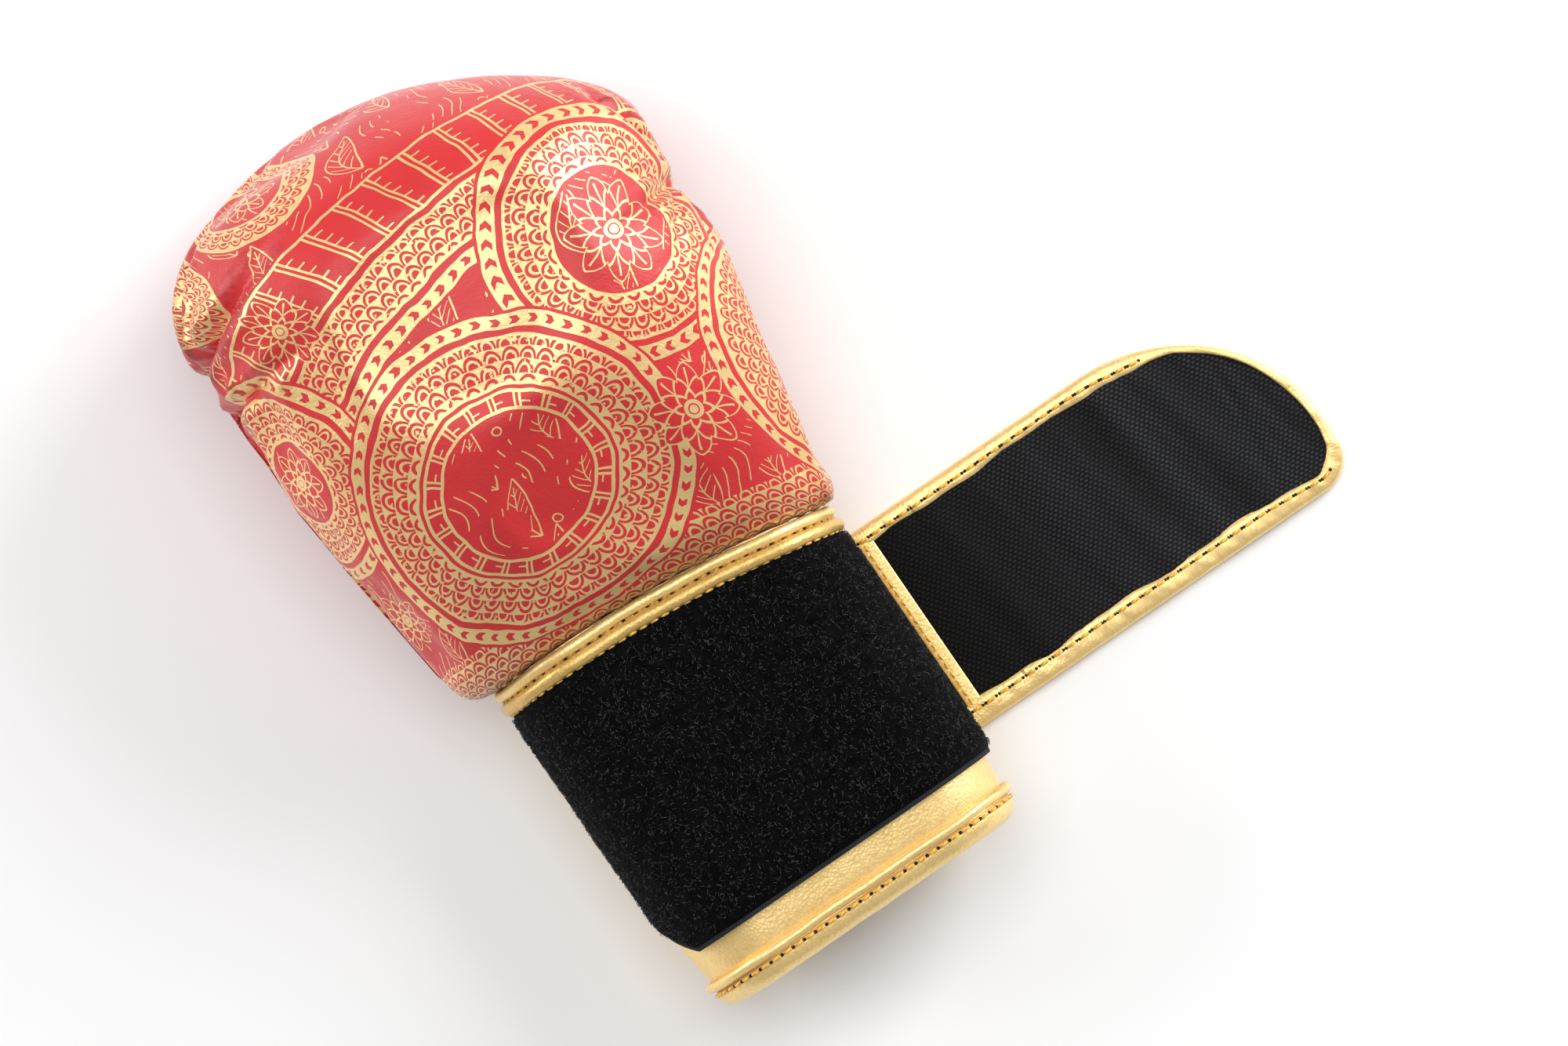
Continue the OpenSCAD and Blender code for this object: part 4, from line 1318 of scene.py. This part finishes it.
def add_fibre(fibres, c, r, heading, length, bend):
    """One fibre that is rooted at column c and row r of the pile's grid and curls as it runs along it."""
    row, col = int(r), int(c)
    root, n = patch_outer[row, col], patch_normal[row, col]
    root = (root + (c - col) * (patch_outer[row, col + 1] - root)
            + (r - row) * (patch_outer[row + 1, col] - root))
    side = unit(np.cross(n, [0.0, 1.0, 0.0]))
    ahead = np.cross(side, n)
    t = np.linspace(0, 1, FIBRE_STEPS)
    angle = heading + bend * t
    flat = np.cumsum(np.stack([np.cos(angle), np.sin(angle)], -1) * length / FIBRE_STEPS, axis=0)
    height = FIBRE_RISE * np.sin(math.pi * t) - FIBRE_SINK
    line = root + flat[:, :1] * side + flat[:, 1:] * ahead + height[:, None] * n
    along = unit(np.gradient(line, axis=0))
    across = unit(np.cross(along, n))
    up = np.cross(across, along)
    thick = FIBRE_R * (1 - 0.45 * t)[:, None]
    ring = np.stack([line + thick * across, line - 0.5 * thick * across + 0.87 * thick * up,
                     line - 0.5 * thick * across - 0.87 * thick * up], 1)
    uv = np.full((FIBRE_STEPS, 4, 2), (patch_far[col], patch_y[row, col]))
    ids = fibres.add(ring.reshape(-1, 3)).reshape(FIBRE_STEPS, 3)
    fibres.quads(np.hstack([ids, ids[:, :1]]), uv)
    fibres.faces += [ids[0, ::-1].tolist(), ids[-1].tolist()]
    fibres.corners += [uv[0, :3]] * 2


# Where the fibres stand on the grid, their heading, length and bend.
FIBRE_RANGES = ((2, len(patch_far) - 3), (2, len(rows) - 3), (0, 2 * math.pi), (0.9, 2.1), (-2.2, 2.2))
dice = np.random.default_rng(7)
fibres = Solid()
for fibre_choice in zip(*[dice.uniform(low, high, FIBRES) for low, high in FIBRE_RANGES]):
    add_fibre(fibres, *fibre_choice)
piece("patch_fibres", fibres, FIBRE, sharp=80)


def patch_rim(name, along, toward, width=2.6):
    """A ribbed woven edge between the pile and the leather."""
    inner = along + toward * width
    offsets = np.array([(0.0, 0.0), (0.0, 0.75), (0.35, 0.95), (0.8, 1.0), (1.0, 0.7), (1.0, 0.0)])
    y = along[:, None] + (inner - along)[:, None] * offsets[:, 0]
    ripple = cuff_ripple(fine_cx[:, None], fine_a[:, None], y)
    rings = cuff_point(fine_cx[:, None], fine_a[:, None], -0.1 - 1.2 * offsets[:, 1] - ripple, y, 0.0)
    piece(name, tube(rings[:, ::-1] if toward > 0 else rings), RIB, sharp=60)


patch_rim("patch_edge_low", low_edge - 1.3, 1)
patch_rim("patch_edge_high", high_edge + 0.9, -1)

# ---------------------------------------------------------------- strap


def strap_wave(x, y):
    """The open strap's gentle waves above the ground."""
    free = smooth((x - 70) / 30)
    return free * (0.28 * (1 + np.sin(x / 6.1 + y / 31)) + 0.18 * (1 + np.sin(x / 15 - y / 17)))


def trim_wrinkle(x, y):
    return 0.16 * np.sin(x * 0.55 + y * 0.5 + 1.7 * np.sin(x * 0.16)) + 0.1 * np.sin(x * 1.3 + y * 1.1)


def panel_y(x, inset):
    """The strap's lower and upper edge at x, set in from its outline."""
    cx = STRAP_TIP - TIP_ROUND_X
    a, b = TIP_ROUND_X - inset, HALF_STRAP - TIP_MID_Y - inset
    high = np.where(x > cx, TIP_MID_Y + b * np.sqrt(np.clip(1 - ((x - cx) / a) ** 2, 0, 1)),
                    HALF_STRAP - inset)
    r = TIP_CORNER - 0.8 * inset
    lx, ly = STRAP_TIP - inset - r, inset + r - HALF_STRAP
    low = np.where(x > lx, ly - np.sqrt(np.clip(r * r - (x - lx) ** 2, 0, None)), inset - HALF_STRAP)
    return low, high


STRAP_STEP = 1.2
TIP_FINE = 14
SOLE_INSET, TIP_TAPE_INSET, TAPE_UNDER = 2.2, 1.5, 1.6
SOLE_Z = (0.15, 1.5)
TAPE_Z = (1.7, STRAP_T)


def strap_columns(x0, x1, inset):
    """Places along the strap, closer together at its tip."""
    if x1 < STRAP_TIP:
        return np.linspace(x0, x1, max(6, round((x1 - x0) / STRAP_STEP)) + 1)
    end = x1 - inset
    bulk = np.linspace(x0, end - TIP_FINE, round((end - TIP_FINE - x0) / STRAP_STEP))
    return np.concatenate([bulk, end - TIP_FINE * np.cos(np.linspace(0, math.pi / 2, 20))[1:]])


def panel(name, x0, x1, inset, heights, material, node, blend, low_extra=0.0, relief=None):
    """A flat layer of the strap between two heights."""
    x = strap_columns(x0, x1, inset)
    low, high = panel_y(x, inset)
    t = np.linspace(0, 1, 66)
    y = low[:, None] + low_extra + t * (high - low - low_extra)[:, None]
    xx = np.broadcast_to(x[:, None], y.shape)
    wave = strap_wave(xx, y)
    top = heights[1] + wave + (relief(xx, y) if relief else 0.0)
    uv = np.stack([xx, y], -1)
    solid = wall(np.stack([xx, y, top], -1), np.stack([xx, y, heights[0] + wave], -1), uv)
    piece(name, solid, material, node, blend=blend, sharp=40)


def hook_relief(x, y):
    """Waves of the hook tape, which die out at its edge, and the step where its last square is sewn on."""
    low, high = panel_y(x, TIP_TAPE_INSET)
    gap = np.minimum(np.minimum(y - low, high - y), STRAP_TIP - TIP_TAPE_INSET - x)
    loose = smooth((gap - 1.5) / 8)
    ripple = 0.34 * np.sin(x / 2.7 + 0.9 * np.sin(y / 19) + y / 40) * smooth((x - 75) / 20)
    ripple = (ripple + 0.42 * np.sin(x / 6.3 + y / 23 + 1.2 * np.sin(x / 31))) * (1 - smooth((x - 184) / 4))
    step = -0.6 * np.exp(-((x - 187.5 - y * 0.08) / 1.2) ** 2) * smooth((24 - abs(y + 2)) / 6)
    return (ripple + step) * loose - 0.6 + 0.25 * loose


# The binding's section: share of its width in from the outer edge, and height.
TRIM_SECTION = [(1.0, 3.55), (0.93, 4.05), (0.78, 4.18), (0.55, 4.12), (0.32, 4.05), (0.14, 3.7),
                (0.03, 2.9), (0.0, 2.0), (0.03, 1.1), (0.14, 0.35), (0.32, 0.05), (0.6, 0.0),
                (1.0, 0.05), (1.0, 0.6), (0.55, 0.75), (0.35, 1.4), (0.35, 2.6), (0.55, 3.1)]


def trim_rings(path_of, width):
    """Rings of the folded leather along the strap's edge; path_of(inset) is that edge set in."""
    rings = []
    x, y = path_of(0.0).T
    wander = np.sin(0.13 * x + 0.2 * y) + 0.6 * np.sin(0.31 * x)
    for share, z in TRIM_SECTION:
        wavy = 1 + 0.07 * share * wander
        line = path_of(share * width * wavy)
        wrinkle = trim_wrinkle(line[:, 0], line[:, 1]) * smooth((z - 2.5) / 1.5)
        height = z + strap_wave(line[:, 0], line[:, 1]) + wrinkle
        rings.append(np.column_stack([line, height]))
    return np.stack(rings, 1)


def edge_path(x, side):
    """A straight stretch of the strap's lower (-1) or upper (1) edge."""
    return lambda inset: np.column_stack([x, np.full(len(x), side * HALF_STRAP) - side * inset])


# Numbers of points along the tip's edge: lower side, small corner, end, large round and upper side.
TIP_COUNTS = (76, 18, 8, 64, 39)
# The binding's width along those points.
TIP_WIDTHS = ((0, LOWER_TRIM), (60, 7.6), (84, 5.4), (98, 2.9), (134, 2.5), (142, 2.7), (152, 5.6),
              (158, 6.3), (170, 5.6), (204, UPPER_TRIM))
# The stitches stop at the first of these points and start again at the second.
TIP_STITCHES = (84, 150)


def tip_path(x0):
    """The strap's edge from the lower side round the tip to the upper side."""
    lower_count, corner_count, end_count, round_count, upper_count = TIP_COUNTS
    lower_x = np.linspace(x0, STRAP_TIP - TIP_CORNER, lower_count, endpoint=False)
    corner = np.radians(np.linspace(-90, 0, corner_count))
    rise = np.linspace(0, 1, end_count + 2)[1:-1]
    curve = np.radians(np.linspace(0, 90, round_count))
    upper_x = np.linspace(STRAP_TIP - TIP_ROUND_X, x0, upper_count + 1)[1:]

    def path(inset):
        inset_at = np.broadcast_to(np.asarray(inset, float), (sum(TIP_COUNTS),))
        lower_in, corner_in, end_in, round_in, upper_in = np.split(inset_at, np.cumsum(TIP_COUNTS)[:-1])
        r = TIP_CORNER - 0.8 * corner_in
        corner_points = np.column_stack([STRAP_TIP - corner_in - r + r * np.cos(corner),
                                         corner_in + r - HALF_STRAP + r * np.sin(corner)])
        foot = corner_points[-1, 1]
        a, b = TIP_ROUND_X - round_in, HALF_STRAP - TIP_MID_Y - round_in
        return np.vstack([
            np.column_stack([lower_x, lower_in - HALF_STRAP]),
            corner_points,
            np.column_stack([STRAP_TIP - end_in, foot + rise * (TIP_MID_Y - foot)]),
            np.column_stack([STRAP_TIP - TIP_ROUND_X + a * np.cos(curve), TIP_MID_Y + b * np.sin(curve)]),
            np.column_stack([upper_x, HALF_STRAP - upper_in])])

    return path


tip_width = np.interp(np.arange(sum(TIP_COUNTS)), *zip(*TIP_WIDTHS))
UP = np.array([0.0, 0.0, 1.0])
# Heights of the seam's two sides, and how far it lies from the binding's inner edge.
FACE_Z, BACK_Z = 4.16, 0.55
LOW_SEAM, HIGH_SEAM, TIP_SEAM = 2.3, 2.0, 2.1


def trim_stitches(side, line, blend):
    """Stitches through the binding, on the strap's face and on its back."""
    wave = strap_wave(line[:, 0], line[:, 1])
    face = np.column_stack([line, FACE_Z + wave + trim_wrinkle(line[:, 0], line[:, 1])])
    back = np.column_stack([line, BACK_Z + wave])
    look = {"pitch": 5.0, "blend": blend}
    stitches(f"strap_stitches_{side}", face, np.broadcast_to(UP, face.shape), ORANGE, length=3.5,
             r=0.56, lift=0.12, **look)
    stitches(f"strap_back_stitches_{side}", back, np.broadcast_to(-UP, back.shape), OLIVE, length=3.9,
             r=0.4, holes=False, **look)


for k in range(4):
    x0, x1 = cut_x[k], cut_x[k + 1]
    number = k + 1
    before = "glove" if k == 0 else f"strap_{k}"
    stop = cut_x[k + 1] if k < 3 else fold_x[3] + FOLD_STEP / 2
    across = (before, f"strap_{number}", (x0 * MM, 0, STRAP_T * MM), (stop * MM, 0, STRAP_T * MM))
    panel(f"strap_sole_{number}", x0, x1, SOLE_INSET, SOLE_Z, GOLD_LEATHER,
          (f"strap_leather_{number}",), across)
    tape_inset = UPPER_TRIM - TAPE_UNDER if k < 3 else TIP_TAPE_INSET
    panel(f"strap_hooks_{number}", x0, x1, tape_inset, TAPE_Z, HOOKS,
          (f"strap_hook_{number}",), across, low_extra=LOWER_TRIM - UPPER_TRIM, relief=hook_relief)
    if k < 3:
        x = np.linspace(x0, x1, 24)
        sides = ((-1, "low", LOWER_TRIM, (f"strap_binding_{number}",)), (1, "high", UPPER_TRIM, ()))
        for side, name, width, stands_for in sides:
            rings = trim_rings(edge_path(x, side), width)[:, ::-side]
            piece(f"strap_trim_{name}_{number}", tube(rings), GOLD_LEATHER, stands_for,
                  blend=across, sharp=80)
        trim_stitches(f"low_{number}", edge_path(x, -1)(LOWER_TRIM - LOW_SEAM), across)
        trim_stitches(f"high_{number}", edge_path(x, 1)(UPPER_TRIM - HIGH_SEAM), across)
    else:
        path = tip_path(x0)
        piece("strap_trim_tip", tube(trim_rings(path, tip_width)), GOLD_LEATHER,
              ("strap_binding_4",), blend=across, sharp=80)
        stitch_line = path(tip_width - TIP_SEAM)
        trim_stitches("tip_low", stitch_line[:TIP_STITCHES[0]], across)
        trim_stitches("tip_high", stitch_line[TIP_STITCHES[1]:], across)

# The gold lip where the hook tape starts, beside the cuff.
lip_y = np.linspace(-HALF_STRAP + LOWER_TRIM - 1, HALF_STRAP - UPPER_TRIM + 1, 60)
lip_turn = round_turn(16)
LIP_X, LIP_HALF = 64.2, 2.6
lip_rings = stacked(LIP_X + LIP_HALF * signed_pow(np.cos(lip_turn), 0.7), lip_y[:, None],
                    STRAP_T - 0.25 + 0.45 * np.sin(lip_turn))
lip_blend = ("strap_1", "strap_2", (cut_x[1] * MM, 0, STRAP_T * MM), (cut_x[2] * MM, 0, STRAP_T * MM))
piece("strap_lip", tube(lip_rings), GOLD_LEATHER, blend=lip_blend, sharp=80)
lip_line = stacked(LIP_X - 0.8, lip_y, STRAP_T + 0.12)
stitches("strap_lip_stitches", lip_line, np.broadcast_to(UP, lip_line.shape), ORANGE, pitch=3.6, length=2.7,
         blend=lip_blend, holes=False)

# The strap's fixed end under the cuff, and the square that it is sewn through.


def slab(name, low, high, node):
    """A flat piece of gold leather with rounded edges."""
    middle, half = (low + high) / 2, (high - low) / 2
    x = np.linspace(low[0], high[0], max(8, round(half[0])))
    t = round_turn(40)
    rings = stacked(x[:, None], middle[1] + half[1] * signed_pow(np.cos(t), 0.16),
                    middle[2] + half[2] * signed_pow(np.sin(t), 0.5))
    piece(name, tube(rings), GOLD_LEATHER, (node,), sharp=60)


slab("strap_fixed_end", root_low, np.array([cut_x[0], *root_high[1:]]), "strap_root")
anchor_low, anchor_high = cad_box("strap_root_patch")
slab("strap_anchor", anchor_low, anchor_high, "strap_root_patch")
sewn_x, sewn_y = (anchor_low[0] + 6.0, anchor_low[0] + 28.0), HALF_STRAP - 5.0
CROSSED_BOX = ((0, -1), (1, -1), (1, 1), (0, 1), (0, -1), (1, 1))
corners = np.array([(sewn_x[k], side * sewn_y) for k, side in CROSSED_BOX])
for number, (start, end) in enumerate(zip(corners[:-1], corners[1:]), 1):
    line = np.column_stack([np.linspace(start, end, 40), np.full(40, root_low[2] + 0.45)])
    stitches(f"root_stitches_{number}", line, np.broadcast_to(-UP, line.shape), OLIVE, r=0.4, holes=False)

# ---------------------------------------------------------------- floor and light

FLOOR_HALF, FLOOR_Z = 3.0, -0.0002
floor_mesh = bpy.data.meshes.new("floor")
floor_corners = [(x * FLOOR_HALF, y * FLOOR_HALF, FLOOR_Z) for x, y in ((-1, -1), (1, -1), (1, 1), (-1, 1))]
floor_mesh.from_pydata(floor_corners, [], [(0, 1, 2, 3)])
floor_uv = floor_mesh.uv_layers.new(name="mm")
for corner, loop in zip(floor_uv.data, floor_mesh.loops):
    x, y, _ = floor_mesh.vertices[loop.vertex_index].co
    corner.uv = (x / MM, y / MM)
floor_mesh.materials.append(floor_finish())
floor = bpy.data.objects.new("floor", floor_mesh)
scene.collection.objects.link(floor)


def area_light(name, place, size, power, target=(0.02, 0.08, 0.05)):
    data = bpy.data.lights.new(name, "AREA")
    data.shape = "RECTANGLE"
    data.size, data.size_y = size
    data.energy = power
    light = bpy.data.objects.new(name, data)
    light.location = place
    light.rotation_euler = (Vector(target) - Vector(place)).to_track_quat("-Z", "Y").to_euler()
    scene.collection.objects.link(light)


area_light("key", (-1.05, 1.0, 0.5), (0.9, 1.0), 12.5)
area_light("fill", (1.4, 0.35, 0.7), (0.9, 1.2), 25)
area_light("top", (-0.02, 0.42, 1.68), (1.2, 1.0), 11.5)

world = bpy.data.worlds.new("studio")
world.use_nodes = True
background = world.node_tree.nodes["Background"]
background.inputs["Color"].default_value = (1, 1, 1, 1)
background.inputs["Strength"].default_value = 0.38
scene.world = world
scene.view_settings.view_transform = "Standard"
